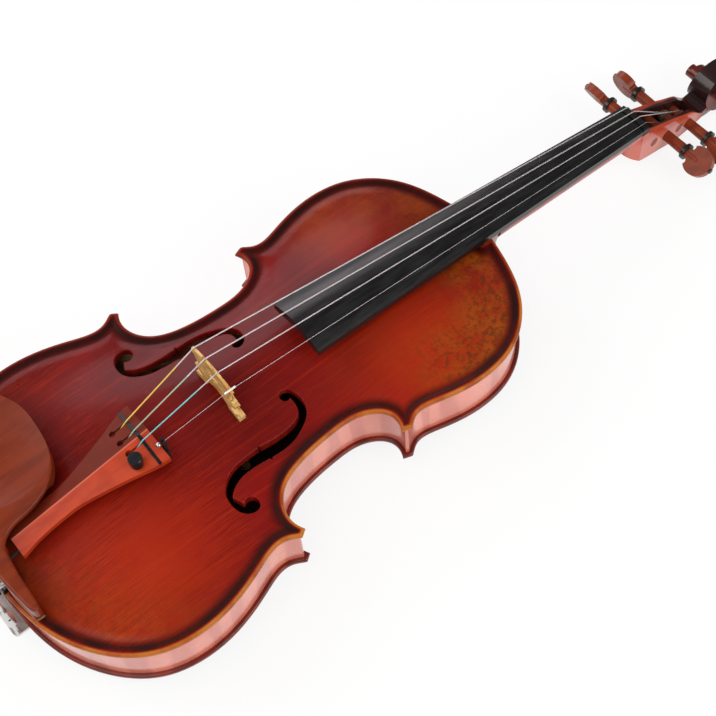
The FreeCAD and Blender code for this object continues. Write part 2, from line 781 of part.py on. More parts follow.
def make_soundbox_plates():
    top = prism(plan_face(), z_top_plane, z_apex + mm("edge_thick"))
    top = top.cut(OVER_TOP_SKIN).cut(UNDER_TOP_INSIDE)
    for sign in (1, -1):
        top = top.cut(f_hole_cut(sign))
    ring = purfling_ring(z_top_edge - mm("purfling_depth"), z_apex)
    top = top.cut(ring).cut(HEEL).cut(saddle_room())
    inlay = ring.cut(OVER_TOP_SKIN).cut(HEEL).cut(saddle_room())
    shape_node("top_plate", one_solid(top))
    shape_node("top_purfling", inlay)

    low = z_back_edge - mm("back_arch") - mm("edge_thick")
    back = prism(plan_face(), low, z_back_plane)
    centre = Vector(0, y_neck + mm("button_reach"), low)
    back = back.fuse(Part.makeCylinder(mm("button_radius"), z_back_plane - low, centre))
    side = mm("button_radius")
    back = back.fuse(box(-side, side, y_neck - side, y_neck + mm("button_reach"), low, z_back_plane))
    back = back.removeSplitter()
    back = back.cut(UNDER_BACK_SKIN).cut(OVER_BACK_INSIDE)
    ring = purfling_ring(z_back_edge - mm("back_arch"), z_back_edge + mm("purfling_depth"))
    shape_node("back_plate", one_solid(back.cut(ring)))
    shape_node("back_purfling", ring.cut(UNDER_BACK_SKIN))


def saddle_solid():
    # Ebony block let into the belly edge, rounded towards the tail
    half = mm("saddle_width") / 2
    rise = mm("saddle_rise")
    block = box(-half, half, 0, mm("saddle_depth"), z_top_plane, z_top_edge + rise)
    rounding = Part.makeCylinder(rise, half * 2, Vector(-half, rise, z_top_edge), Vector(1, 0, 0))
    corner = box(-half, half, 0, rise, z_top_edge, z_top_edge + rise)
    return block.cut(corner.cut(rounding))


Z_BUTTON = z_back_plane + mm("rib_height") / 2
BUTTON_SHANK = Part.makeCylinder(mm("end_button_shank"), over * 2, Vector(0, -over, Z_BUTTON), Vector(0, 1, 0))


def make_ribs():
    for bout in ("upper", "waist", "lower"):
        rib = mitred_strip(bout, mm("overhang"), wall, z_back_plane, z_top_plane)
        if bout == "upper":
            rib = largest(rib.cut(HEEL))
        if bout == "lower":
            rib = rib.cut(BUTTON_SHANK)
        shape_node(bout + "_rib_treble", rib)
        shape_node(bout + "_rib_bass", flip(rib))


def corner_block_solids():
    reach = mm("corner_block_reach")
    blocks = []
    for frame in FRAMES.values():
        point, way, _ = frame
        across = Vector(-way.y, way.x, 0)
        foot = point - way * reach
        corners = [point + way * reach, foot + across * reach, foot - across * reach]
        blocks.append(largest(INNER_PRISM.common(prism(face_of(corners), z_back_plane, z_top_plane))))
    return blocks + [flip(block) for block in blocks]


def make_blocks():
    half = mm("block_width") / 2
    neck_low = y_neck - wall - mm("neck_block_depth")
    neck_block = INNER_PRISM.common(box(-half, half, neck_low, y_neck, z_back_plane, z_top_plane))
    shape_node("neck_block", one_solid(neck_block.cut(HEEL)))
    end_high = wall + mm("end_block_depth")
    end_block = INNER_PRISM.common(box(-half, half, 0, end_high, z_back_plane, z_top_plane))
    end_block = end_block.cut(BUTTON_SHANK)
    shape_node("end_block", one_solid(end_block))
    corners = corner_block_solids()
    shape_node("corner_blocks", Part.makeCompound(corners))
    blocks = Part.makeCompound([neck_block, box(-half, half, 0, end_high, z_back_plane, z_top_plane)]
                               + corners)
    inside = prism(inner_face(wall + mm("lining_thick")), z_back_plane, z_top_plane)
    for label, low in (("back_linings", z_back_plane), ("top_linings", z_top_plane - mm("lining_height"))):
        ring = prism(INNER, low, low + mm("lining_height")).cut(inside).cut(blocks).cut(HEEL)
        shape_node(label, Part.makeCompound(ring.Solids))


def make_bass_bar():
    # Glued under the belly; its lower edge is one long arc
    middle = y_bridge
    half = mm("bar_length") / 2
    centre = mm("body_length") / 2
    x = -mm("bar_offset")
    deep = top_inner_height(x, middle) - mm("bar_depth")
    ends = [Vector(x, centre + way * half, top_inner_height(x, centre + way * half)
                   - mm("bar_end_depth")) for way in (-1, 1)]
    low_arc = Part.Arc(ends[0], Vector(x, middle, deep), ends[1]).toShape()
    tops = [end + Vector(0, 0, over) for end in ends]
    outline = Part.Wire([low_arc, Part.makeLine(ends[1], tops[1]), Part.makeLine(tops[1], tops[0]),
                         Part.makeLine(tops[0], ends[0])])
    bar = Part.Face(outline).extrude(Vector(mm("bar_width"), 0, 0))
    bar.translate(Vector(-mm("bar_width") / 2, 0, 0))
    shape_node("bass_bar", one_solid(bar.common(UNDER_TOP_INSIDE)))


def make_soundpost():
    y = y_bridge - mm("post_setback")
    foot = Vector(mm("post_offset"), y, 0)
    post = Part.makeCylinder(mm("post_radius"), z_apex, foot)
    post = post.common(UNDER_TOP_INSIDE_DEEP).common(OVER_BACK_INSIDE_DEEP)
    shape_node("soundpost", one_solid(post))


UNDER_TOP_INSIDE_DEEP = TOP_INSIDE.extrude(Vector(0, 0, -z_apex))
OVER_BACK_INSIDE_DEEP = BACK_INSIDE.extrude(Vector(0, 0, z_apex))

make_soundbox_plates()
make_ribs()
make_blocks()
make_bass_bar()
make_soundpost()
shape_node("saddle", saddle_solid())


# Neck, pegbox and scroll

# Cheek tops beyond the nut: shares of the pegbox length and of the cheeks' fall
CHEEK_SHARES = [(0.083, -0.08), (0.20, -0.17), (0.38, -0.22), (0.54, -0.30), (0.66, -0.40),
                (0.77, -0.50), (0.85, -0.77), (0.93, -0.98)]
# Underside from the chin to the scroll: shares of the pegbox length and depth
BELLY_SHARES = [(-0.138, -0.584), (-0.068, -0.76), (0.02, -0.92), (0.27, -1.0), (0.432, -0.984),
                (0.608, -0.97), (0.743, -0.87), (0.838, -0.77)]
# Along the volute: angle, share of its radius, share of half the eye width
VOLUTE_SHARES = [(-135, 1.05, 0.41), (-112.5, 0.76, 0.39), (-90, 0.60, 0.37), (-67.5, 0.57, 0.34),
                 (-45, 0.64, 0.31), (-22.5, 0.83, 0.29), (0, 1.0, 0.275), (45, 1.0, 0.275),
                 (90, 0.98, 0.30), (135, 0.90, 0.35), (180, 0.79, 0.41), (225, 0.64, 0.475),
                 (270, 0.53, 0.54), (315, 0.48, 0.60), (360, 0.44, 0.66), (405, 0.405, 0.72),
                 (450, 0.365, 0.78), (495, 0.33, 0.84), (540, 0.29, 0.90)]
CORE_SHARE = 0.1
FLANK_SHARE = 0.05
# Peg places: share of the pegbox length, side of the head, twist of the head
PEGS = [("g", 0.238, -1, 27.0), ("e", 0.414, 1, -53.0), ("d", 0.60, -1, 14.0), ("a", 0.734, 1, -40.0)]
CAVITY_SHARES = (0.09, 0.86)
CHIN_SHARE = 0.3


def neck_section(y):
    half = board_half(y)
    share = (y - y_neck) / mm("neck_stop")
    deep = mm("neck_depth_heel") + share * (mm("neck_depth_nut") - mm("neck_depth_heel"))
    z = neck_line(y)
    points = []
    for i in range(ROUND_STEPS + 1):
        angle = math.pi * i / ROUND_STEPS
        points.append(Vector(half * math.cos(angle), y, z - deep * math.sin(angle) ** 0.9))
    return Part.Wire([Part.makeLine(points[-1], points[0]), spline(points).toShape()])


def pegbox_half(u):
    share = u / mm("pegbox_length")
    return (mm("pegbox_nut_width") + share * (mm("pegbox_end_width") - mm("pegbox_nut_width"))) / 2


def side_prism(edges, half):
    face = Part.Face(Part.Wire(Part.__sortEdges__(edges)))
    return face.extrude(Vector(half * 2, 0, 0))


def eye_point():
    return Vector(mm("scroll_reach") - mm("scroll_radius"), -mm("scroll_drop"), 0)


def polar(radius, angle):
    eye = eye_point()
    turn = math.radians(angle)
    return eye.x + radius * math.cos(turn), eye.y + radius * math.sin(turn)


def make_pegbox():
    length = mm("pegbox_length")
    half = mm("pegbox_nut_width")
    nut_back = mm("nut_depth")

    def spot(u, v):
        return head_point(u, v, -half)

    cheeks = [spot(u * length, v * mm("cheek_fall")) for u, v in CHEEK_SHARES]
    belly = [spot(u * length, v * mm("pegbox_depth")) for u, v in BELLY_SHARES]
    eye = eye_point()
    start_angle, start_share, _ = VOLUTE_SHARES[0]
    start = spot(*polar(start_share * mm("scroll_radius"), start_angle))
    chin = neck_point(BELLY_SHARES[0][0] * length, 0, -half)
    ledge = neck_point(nut_back, 0, -half)
    belly.append(start)
    edges = [Part.makeLine(chin, ledge), Part.makeLine(ledge, cheeks[0]), spline(cheeks).toShape(),
             Part.makeLine(cheeks[-1], spot(eye.x, eye.y)), Part.makeLine(spot(eye.x, eye.y), start),
             spline(belly).toShape(), Part.makeLine(belly[0], chin)]
    block = side_prism(edges, half)
    rows = [(belly[0].y, pegbox_half(0) * CHIN_SHARE), (y_nut, pegbox_half(0)),
            (head_point(length, 0).y, pegbox_half(length)),
            (head_point(mm("scroll_reach"), 0).y, pegbox_half(length))]
    plan = [Vector(x, y, 0) for y, x in rows] + [Vector(-x, y, 0) for y, x in reversed(rows)]
    block = block.common(prism(face_of(plan), -over, z_apex + over))
    return block.cut(cavity_solid())


def cavity_solid():
    length = mm("pegbox_length")
    half = mm("pegbox_nut_width")
    first, last = (share * length for share in CAVITY_SHARES)
    floor = []
    for u, v in BELLY_SHARES:
        along = min(max(u * length, first), last)
        if floor and along <= floor[-1][0]:
            continue
        floor.append((along, v * mm("pegbox_depth") + mm("pegbox_floor")))
    points = [head_point(u, v, -half) for u, v in floor]
    lift = mm("cheek_fall")
    corners = [head_point(last, lift, -half), head_point(first, lift, -half)]
    edges = [spline(points).toShape(), Part.makeLine(points[-1], corners[0]),
             Part.makeLine(corners[0], corners[1]), Part.makeLine(corners[1], points[0])]
    room = side_prism(edges, half)
    plan = []
    for u, side in ((first, 1), (last, 1), (last, -1), (first, -1)):
        x = (pegbox_half(u) - mm("cheek")) * side
        plan.append(Vector(x, head_point(u, 0).y, 0))
    return room.common(prism(face_of(plan), -over, z_apex + over))


def volute_section(angle):
    table = VOLUTE_SHARES
    index = 0
    while index < len(table) - 2 and angle > table[index + 1][0]:
        index += 1
    (a0, r0, w0), (a1, r1, w1) = table[index], table[index + 1]
    blend = (angle - a0) / (a1 - a0)
    radius = (r0 + blend * (r1 - r0)) * mm("scroll_radius")
    half = (w0 + blend * (w1 - w0)) * mm("eye_width") / 2
    flank = half + FLANK_SHARE * mm("scroll_radius")
    core = CORE_SHARE * mm("scroll_radius")
    outer = polar(radius, angle)
    inner = polar(core, angle)
    corners = [head_point(*outer, -half), head_point(*outer, half),
               head_point(*inner, flank), head_point(*inner, -flank)]
    return Part.makePolygon(corners + [corners[0]])


def make_volute():
    first = VOLUTE_SHARES[0][0]
    last = VOLUTE_SHARES[-1][0]
    step = 22.5
    per_part = 4
    steps = int((last - first) / step)
    parts = []
    for start in range(0, steps, per_part):
        stop = min(start + per_part, steps)
        wires = [volute_section(first + step * i) for i in range(start, stop + 1)]
        parts.append(Part.makeLoft(wires, True, False))
    return parts


def peg_axis(share):
    return head_point(share * mm("pegbox_length"), -mm("peg_drop"))


def peg_collar_place(share):
    return pegbox_half(share * mm("pegbox_length")) + mm("peg_stand")


def peg_hole(share, side):
    # A tapered hole through both cheeks, wider than the peg by its running fit
    axis = peg_axis(share)
    reach = pegbox_half(share * mm("pegbox_length"))
    collar = peg_collar_place(share)
    total = collar + reach
    taper = (mm("peg_radius") - mm("peg_tip_radius")) / total
    small = mm("peg_tip_radius") + mm("peg_fit") - taper * over
    large = small + taper * (total + over)
    foot = Vector(-side * (reach + over), axis.y, axis.z)
    return Part.makeCone(small, large, total + over, foot, Vector(side, 0, 0))


def make_neck():
    sections = [neck_section(y_neck + share * mm("neck_stop")) for share in (0.03, 0.25, 0.5, 0.75, 1.0)]
    shaft = Part.makeLoft(sections, True, False)
    neck = shaft.fuse(HEEL)
    corners = [Vector(-over, y_neck - over, neck_line(y_neck - over)),
               Vector(-over, y_nut + mm("nut_depth"), neck_line(y_nut + mm("nut_depth"))),
               Vector(-over, y_nut + mm("nut_depth"), z_apex + over),
               Vector(-over, y_neck - over, z_apex + over)]
    neck = neck.cut(face_of(corners).extrude(Vector(over * 2, 0, 0)))
    neck = neck.fuse(make_pegbox())
    for part in make_volute():
        neck = neck.fuse(part)
    eye = head_point(eye_point().x, eye_point().y, -mm("eye_width") / 2)
    neck = neck.fuse(Part.makeCylinder(mm("eye_radius"), mm("eye_width"), eye, Vector(1, 0, 0)))
    for _, share, side, _ in PEGS:
        neck = neck.cut(peg_hole(share, side))
    shape_node("neck", one_solid(neck))


def board_section(y):
    half = board_half(y)
    low = neck_line(y)
    edge = low + board_side(y)
    arc = Part.Arc(Vector(half, y, edge), Vector(0, y, board_top(y)), Vector(-half, y, edge))
    return Part.Wire([Part.makeLine(Vector(-half, y, low), Vector(half, y, low)),
                      Part.makeLine(Vector(half, y, low), Vector(half, y, edge)), arc.toShape(),
                      Part.makeLine(Vector(-half, y, edge), Vector(-half, y, low))])


def make_fingerboard():
    # Flat glued face over the neck, hollowed where it reaches over the belly
    y_end = y_nut - mm("board_length")
    board = Part.makeLoft([board_section(y_end), board_section(y_nut)], True, True)
    wires = []
    for y in (y_end - mm("board_end_side"), y_neck):
        half = board_half(y) - mm("board_end_side")
        low = neck_line(y)
        top = low + mm("board_hollow") * (y_neck + mm("board_hollow") - y) / (y_neck - y_end)
        arc = Part.Arc(Vector(half, y, low), Vector(0, y, top), Vector(-half, y, low)).toShape()
        wires.append(Part.Wire([Part.makeLine(Vector(-half, y, low), Vector(half, y, low)), arc]))
    shape_node("fingerboard", one_solid(board.cut(Part.makeLoft(wires, True, True))))


make_neck()
make_fingerboard()


# Nut and bridge

def nut_section(y):
    half = mm("board_nut_width") / 2
    low = neck_line(y)
    edge = low + mm("board_nut_side") + mm("nut_rise")
    top = edge + crown(half, mm("board_radius"))
    arc = Part.Arc(Vector(half, y, edge), Vector(0, y, top), Vector(-half, y, edge))
    return Part.Wire([Part.makeLine(Vector(-half, y, low), Vector(half, y, low)),
                      Part.makeLine(Vector(half, y, low), Vector(half, y, edge)), arc.toShape(),
                      Part.makeLine(Vector(-half, y, edge), Vector(-half, y, low))])


def nut_top(x):
    half = mm("board_nut_width") / 2
    radius = mm("board_radius")
    return mm("board_nut_side") + mm("nut_rise") + crown(half, radius) - crown(x, radius)


def make_nut():
    nut = Part.makeLoft([nut_section(y_nut), nut_section(y_nut + mm("nut_depth"))], True, True)
    behind = [neck_point(0, -over), neck_point(mm("nut_depth"), -over), neck_point(mm("nut_depth"), over),
              neck_point(0, over)]
    keep = face_of([point - Vector(over, 0, 0) for point in behind]).extrude(Vector(over * 2, 0, 0))
    shape_node("nut", one_solid(nut.common(keep)))


def bridge_top(x):
    middle = z_apex + mm("bridge_height")
    return middle - crown(x, mm("bridge_top_radius")) - mm("bridge_tilt") * x


# Bridge outline: shares of half the width and of the height over the belly
BRIDGE_SIDE_SHARES = [(1.0, 0.04), (0.82, 0.09), (0.68, 0.14), (0.70, 0.21), (0.84, 0.27),
                      (0.93, 0.33), (0.91, 0.40), (0.80, 0.45), (0.73, 0.52), (0.74, 0.62),
                      (0.83, 0.73), (0.90, 0.82)]
BRIDGE_ARCH_SHARES = [(0.50, 0.04), (0.42, 0.12), (0.28, 0.20), (0.12, 0.25), (0.0, 0.262)]
BRIDGE_KIDNEY_SHARE = (0.62, 0.42, 0.115)
BRIDGE_SLIT_SHARES = (0.39, 0.43)
BRIDGE_HEART_SHARES = [(0.0, 0.48), (0.17, 0.58), (0.24, 0.64), (0.22, 0.69), (0.12, 0.70),
                       (0.05, 0.655), (0.0, 0.64)]


def make_bridge():
    half = mm("bridge_width") / 2
    high = mm("bridge_height")
    thick = mm("bridge_foot_thick")
    back = y_bridge - thick / 2

    def spot(x, share):
        return Vector(x * half, back, z_apex + share * high)

    def both(points):
        return points + [Vector(-p.x, p.y, p.z) for p in points[::-1] if abs(p.x) > 0]

    side = [spot(*share) for share in BRIDGE_SIDE_SHARES]
    arch = [spot(*share) for share in BRIDGE_ARCH_SHARES]
    shoulder = side[-1].x
    top = [Vector(x, back, bridge_top(x)) for x in (shoulder, 0.0, -shoulder)]
    low = z_top_edge
    feet = [Vector(p.x, back, low) for p in (side[0], arch[0])]
    other = [Vector(-p.x, p.y, p.z) for p in side]
    other_feet = [Vector(-p.x, p.y, p.z) for p in feet]
    arch_line = both(arch)
    edges = [spline(side).toShape(), Part.makeLine(side[-1], top[0]),
             Part.Arc(top[0], top[1], top[2]).toShape(), Part.makeLine(top[2], other[-1]),
             spline(other[::-1]).toShape(), Part.makeLine(other[0], other_feet[0]),
             Part.makeLine(other_feet[0], other_feet[1]), Part.makeLine(other_feet[1], arch_line[-1]),
             spline(arch_line).toShape(), Part.makeLine(arch[0], feet[1]),
             Part.makeLine(feet[1], feet[0]), Part.makeLine(feet[0], side[0])]
    face = Part.Face(Part.Wire(Part.__sortEdges__(edges)))
    bridge = face.extrude(Vector(0, thick, 0))
    heart = both([spot(*share) for share in BRIDGE_HEART_SHARES])
    cut = face_of(heart[:-1]).extrude(Vector(0, thick, 0))
    bridge = bridge.cut(cut)
    x, share, round_share = BRIDGE_KIDNEY_SHARE
    first, last = BRIDGE_SLIT_SHARES
    for sign in (1, -1):
        centre = spot(sign * x, share)
        eye = Part.makeCylinder(round_share * half, thick, centre, Vector(0, 1, 0))
        reach = sorted((centre.x, sign * half))
        slit = box(reach[0], reach[1], back, back + thick, z_apex + first * high, z_apex + last * high)
        bridge = bridge.cut(eye).cut(slit)
    top_front = back + mm("bridge_top_thick")
    wedge = face_of([Vector(-half - over, back + thick, z_apex), Vector(-half - over, top_front, z_apex + high),
                     Vector(-half - over, top_front, z_apex + high + over),
                     Vector(-half - over, back + thick + over, z_apex + high + over),
                     Vector(-half - over, back + thick + over, z_apex)])
    bridge = bridge.cut(wedge.extrude(Vector((half + over) * 2, 0, 0)))
    bridge = bridge.cut(UNDER_TOP_SKIN)
    shape_node("bridge", one_solid(bridge))


make_nut()
make_bridge()


# Tailpiece

# Place along the tailpiece, and weights of half its wide and its small end
TAIL_SHARES = [(0.0, 0.0, 1.0), (0.075, 0.0, 0.88), (0.18, 0.0, 0.77), (0.32, 0.0, 0.73),
               (0.43, 0.20, 0.40), (0.54, 0.505, 0.0), (0.645, 0.617, 0.0), (0.806, 0.804, 0.0),
               (0.935, 0.963, 0.0), (1.0, 1.0, 0.0)]
Y_TAIL = mm("tail_end_gap")


def tail_half(y):
    t = (y - Y_TAIL) / mm("tail_length")
    index = 0
    while index < len(TAIL_SHARES) - 2 and t > TAIL_SHARES[index + 1][0]:
        index += 1
    t0, a0, b0 = TAIL_SHARES[index]
    t1, a1, b1 = TAIL_SHARES[index + 1]
    blend = (t - t0) / (t1 - t0)
    wide = a0 + blend * (a1 - a0)
    small = b0 + blend * (b1 - b0)
    return (wide * mm("tail_wide") + small * mm("tail_small")) / 2


def tail_edge(y):
    t = (y - Y_TAIL) / mm("tail_length")
    return mm("tail_low") + t * (mm("tail_high") - mm("tail_low"))


def tail_top(x, y):
    return tail_edge(y) + mm("tail_ridge") * (1 - abs(x) / tail_half(y))


def tail_section(y):
    half = tail_half(y)
    edge = tail_edge(y)
    low = edge - mm("tail_side")
    rim = half - mm("tail_hollow")
    points = [(-half, low), (-rim, low), (0, low + mm("tail_hollow")), (rim, low), (half, low),
              (half, edge), (0, edge + mm("tail_ridge")), (-half, edge)]
    spots = [Vector(x, y, z) for x, z in points]
    return Part.makePolygon(spots + [spots[0]])


Y_FRET = Y_TAIL + mm("tail_length") - mm("fret_setback")
SLOT_X = [mm("slot_spacing") * share for share in (-1.5, -0.5, 0.5, 1.5)]
Y_SLOT = Y_FRET - mm("fret_width") / 2 - mm("slot_width") / 2 - mm("slot_length")
X_GUT = mm("end_button_neck") + mm("gut_radius") + mm("string_clear")
GUT_BEND = mm("saddle_rise") + mm("gut_radius") + mm("string_clear")
X_TUNER = SLOT_X[3]
Z_SEAT = tail_edge(Y_SLOT) - mm("tail_side") + mm("tail_hollow") / 2


def fret_solid():
    half_wide = mm("fret_width") / 2
    rise = mm("fret_rise")
    half = tail_half(Y_FRET)
    edge = tail_edge(Y_FRET)
    ridge = edge + mm("tail_ridge")
    points = [(-half, edge - rise), (0, ridge - rise), (half, edge - rise), (half, edge + rise / 2),
              (0, ridge + rise), (-half, edge + rise / 2)]
    return face_of([Vector(x, Y_FRET - half_wide, z) for x, z in points]).extrude(
        Vector(0, half_wide * 2, 0))


def fret_top(x):
    share = abs(x) / tail_half(Y_FRET)
    rise = mm("fret_rise") * (1 - share / 2)
    return tail_top(x, Y_FRET) + rise


def gut_leg_end():
    # Where a leg of the tailgut ends inside the tailpiece
    y = Y_TAIL + mm("tail_ridge") * 2
    return Vector(X_GUT, y, tail_top(X_GUT, y) - mm("tail_side") + mm("gut_radius") / 2)


def make_tailpiece():
    sections = [tail_section(Y_TAIL + share[0] * mm("tail_length")) for share in TAIL_SHARES]
    body = Part.makeLoft(sections, True, False)
    body = body.cut(fret_solid())
    for x in SLOT_X[:3]:
        hole = Part.makeCylinder(mm("slot_hole_radius"), over, Vector(x, Y_SLOT, tail_edge(Y_TAIL)))
        half = mm("slot_width") / 2
        slot = box(x - half, x + half, Y_SLOT, Y_SLOT + mm("slot_length"), tail_edge(Y_TAIL),
                   z_apex + over)
        body = body.cut(hole).cut(slot)
    shank = mm("tuner_screw_radius") + mm("tuner_ring") / 2
    body = body.cut(Part.makeCylinder(shank, over, Vector(X_TUNER, Y_SLOT, tail_edge(Y_TAIL))))
    gauge = mm("tuner_gauge") / 2 + mm("string_clear")
    seat = box(X_TUNER - gauge, X_TUNER + gauge, Y_SLOT - gauge - mm("tuner_plate"),
               Y_TAIL + mm("tail_length") + over, Z_SEAT - over, Z_SEAT)
    body = body.cut(seat)
    end = gut_leg_end()
    start = Vector(X_GUT, mm("saddle_rise"), z_top_edge + GUT_BEND)
    way = end - start
    for sign in (1, -1):
        foot = Vector(sign * start.x, start.y, start.z)
        body = body.cut(Part.makeCylinder(mm("gut_radius") + mm("string_clear"),
                                          way.Length + mm("string_clear"), foot, Vector(0, way.y, way.z)))
    shape_node("tailpiece", one_solid(body))
    shape_node("tailpiece_fret", fret_solid())


make_tailpiece()


# Cords: straight runs joined by tangent arcs

def cord_wire(points, bends):
    edges = []
    here = points[0]
    for i in range(1, len(points) - 1):
        before = (points[i - 1] - points[i]).normalize()
        after = (points[i + 1] - points[i]).normalize()
        half_angle = before.getAngle(after) / 2
        reach = bends[i - 1] / math.tan(half_angle)
        start = points[i] + before * reach
        end = points[i] + after * reach
        inward = (before + after).normalize()
        middle = points[i] + inward * (bends[i - 1] / math.sin(half_angle) - bends[i - 1])
        edges.append(Part.makeLine(here, start))
        edges.append(Part.Arc(start, middle, end).toShape())
        here = end
    edges.append(Part.makeLine(here, points[-1]))
    return Part.Wire(edges)


def cord(wire, radius, name):
    start = wire.Edges[0]
    heading = start.tangentAt(start.FirstParameter)
    origin = start.valueAt(start.FirstParameter)
    profile = Part.Wire([Part.makeCircle(radius, origin, heading)])
    solid = wire.makePipeShell([profile], True, False)
    expected = math.pi * radius ** 2 * wire.Length
    print("cord", name, "radius", radius, "length", round(wire.Length, 1),
          "volume share", round(solid.Volume / expected, 4))
    return solid


def make_tailgut():
    end = gut_leg_end()
    y_face = mm("saddle_rise") - GUT_BEND
    centre = Vector(0, mm("saddle_rise"), z_top_edge)
    away = Vector(0, end.y - centre.y, end.z - centre.z)
    turn = math.acos(GUT_BEND / away.Length)
    angle = math.atan2(away.z, away.y) + turn
    touch = Vector(X_GUT, centre.y + GUT_BEND * math.cos(angle), centre.z + GUT_BEND * math.sin(angle))
    half = (angle + math.pi) / 2
    middle = Vector(X_GUT, centre.y + GUT_BEND * math.cos(half), centre.z + GUT_BEND * math.sin(half))
    down = Vector(X_GUT, y_face, z_top_edge)
    low = Vector(X_GUT, y_face, Z_BUTTON)

    def other(point):
        return Vector(-point.x, point.y, point.z)

    edges = [Part.makeLine(end, touch), Part.Arc(touch, middle, down).toShape(),
             Part.makeLine(down, low),
             Part.Arc(low, Vector(0, y_face, Z_BUTTON - X_GUT), other(low)).toShape(),
             Part.makeLine(other(low), other(down)),
             Part.Arc(other(down), other(middle), other(touch)).toShape(),
             Part.makeLine(other(touch), other(end))]
    shape_node("tailgut", cord(Part.Wire(edges), mm("gut_radius"), "tailgut"))


make_tailgut()

STRINGS = [("g", -1.5, -2.0), ("d", -0.5, -1.2), ("a", 0.5, 1.0), ("e", 1.5, 1.6)]
PEG_AT = {name: (share, side, twist) for name, share, side, twist in PEGS}
BRIDGE_BEND = mm("ball_radius") * 1.5
NUT_BEND = mm("ball_radius") * 1.2


def peg_radius_at(name, x):
    share, side, _ = PEG_AT[name]
    reach = pegbox_half(share * mm("pegbox_length"))
    collar = peg_collar_place(share)
    along = (collar - side * x) / (collar + reach)
    return mm("peg_radius") - along * (mm("peg_radius") - mm("peg_tip_radius"))


def winding_start(name, x, source):
    # The upper point where a line from the nut touches the first turn
    axis = peg_axis(PEG_AT[name][0])
    side = PEG_AT[name][1]
    last_turn = x + side * mm("winding_pitch") * mm("winding_turns")
    turn_radius = peg_radius_at(name, last_turn) + mm("string_" + name + "_radius") + mm("peg_fit") / 2
    away = source - axis
    distance = math.hypot(away.y, away.z)
    angle = math.atan2(away.z, away.y) - math.acos(turn_radius / distance)
    return turn_radius, angle, Vector(x, axis.y + turn_radius * math.cos(angle),
                                      axis.z + turn_radius * math.sin(angle))


def string_points(name, order, wind_x):
    radius = mm("string_" + name + "_radius")
    lift = radius + mm("string_clear")
    spread = mm("string_spread_bridge") / 3
    x_bridge = order * spread
    x_nut = order * mm("string_spread_nut") / 3
    slot = SLOT_X[int(order + 1.5)]
    over_bridge = Vector(x_bridge, y_bridge - mm("bridge_foot_thick") / 2 + mm("bridge_top_thick") / 2,
                         bridge_top(x_bridge) + lift)
    u_nut = mm("nut_depth") - NUT_BEND * 0.4
    over_nut = neck_point(u_nut, nut_top(x_nut) + lift + NUT_BEND * 0.12, x_nut)
    points = [over_bridge, over_nut]
    bends = [NUT_BEND]
    if name == "e":
        hook = Vector(slot, Y_HOOK, Z_HOOK)
        points = [hook] + points
        bends = [BRIDGE_BEND] + bends
    else:
        on_fret = Vector(slot, Y_FRET, fret_top(slot) + lift)
        drop = mm("tail_side") + mm("tail_ridge") - mm("tail_hollow") + mm("ball_radius") + mm("string_clear")
        y_ball = Y_SLOT - mm("slot_width")
        ball = Vector(slot, y_ball, tail_top(slot, Y_SLOT) - drop)
        points = [ball, on_fret] + points
        bends = [mm("ball_radius"), BRIDGE_BEND] + bends
    turn_radius, angle, touch = winding_start(name, wind_x, over_nut)
    gap = math.sqrt((turn_radius + radius * 2 + mm("string_clear")) ** 2 - turn_radius ** 2)
    end = touch + (over_nut - touch).normalize() * gap
    return points + [end], bends, (turn_radius, angle)


Y_PIVOT = Y_SLOT + mm("tuner_reach")
Z_PLATE = Z_SEAT - mm("tuner_plate")
Z_PIVOT = Z_PLATE - mm("tuner_drop") + mm("tuner_lever_thick")
Y_HOOK = Y_PIVOT + mm("tuner_lever_thick") / 2
Z_HOOK = tail_top(X_TUNER, Y_TAIL + mm("tail_length")) + mm("ball_radius") + mm("string_clear") * 2


def helix_arcs(centre, radius, start, way, pitch, turns, side):
    # Quarter turns, each of two tangent arcs
    def at(angle, x):
        return Vector(x, centre.y + radius * math.cos(angle), centre.z + radius * math.sin(angle))

    def heading(angle):
        return Vector(side * pitch / (2 * math.pi), way * radius * -math.sin(angle),
                      way * radius * math.cos(angle)).normalize()

    def arc(a, b, tangent):
        chord = b - a
        angle = tangent.getAngle(chord)
        normal = (tangent - chord * (tangent.dot(chord) / chord.dot(chord))).normalize()
        middle = (a + b) * 0.5 + normal * (chord.Length / 2 * math.tan(angle / 2))
        return Part.Arc(a, middle, b).toShape()

    edges = []
    steps = int(turns * 4)
    step = math.pi / 2
    for i in range(steps):
        a0 = start + way * step * i
        a1 = a0 + way * step
        p0 = at(a0, centre.x + side * pitch * i / 4)
        p1 = at(a1, centre.x + side * pitch * (i + 1) / 4)
        t0 = heading(a0)
        t1 = heading(a1)
        chord = p1 - p0
        total = t0 + t1
        lean = chord.dot(total)
        spread = 2 * (1 - t0.dot(t1))
        reach = (math.sqrt(lean ** 2 + spread * chord.dot(chord)) - lean) / spread
        joint = (p0 + p1 + (t0 - t1) * reach) * 0.5
        edges.append(arc(p0, joint, t0))
        edges.append(arc(joint, p1, (chord - total * reach).normalize()))
    return Part.Wire(edges)


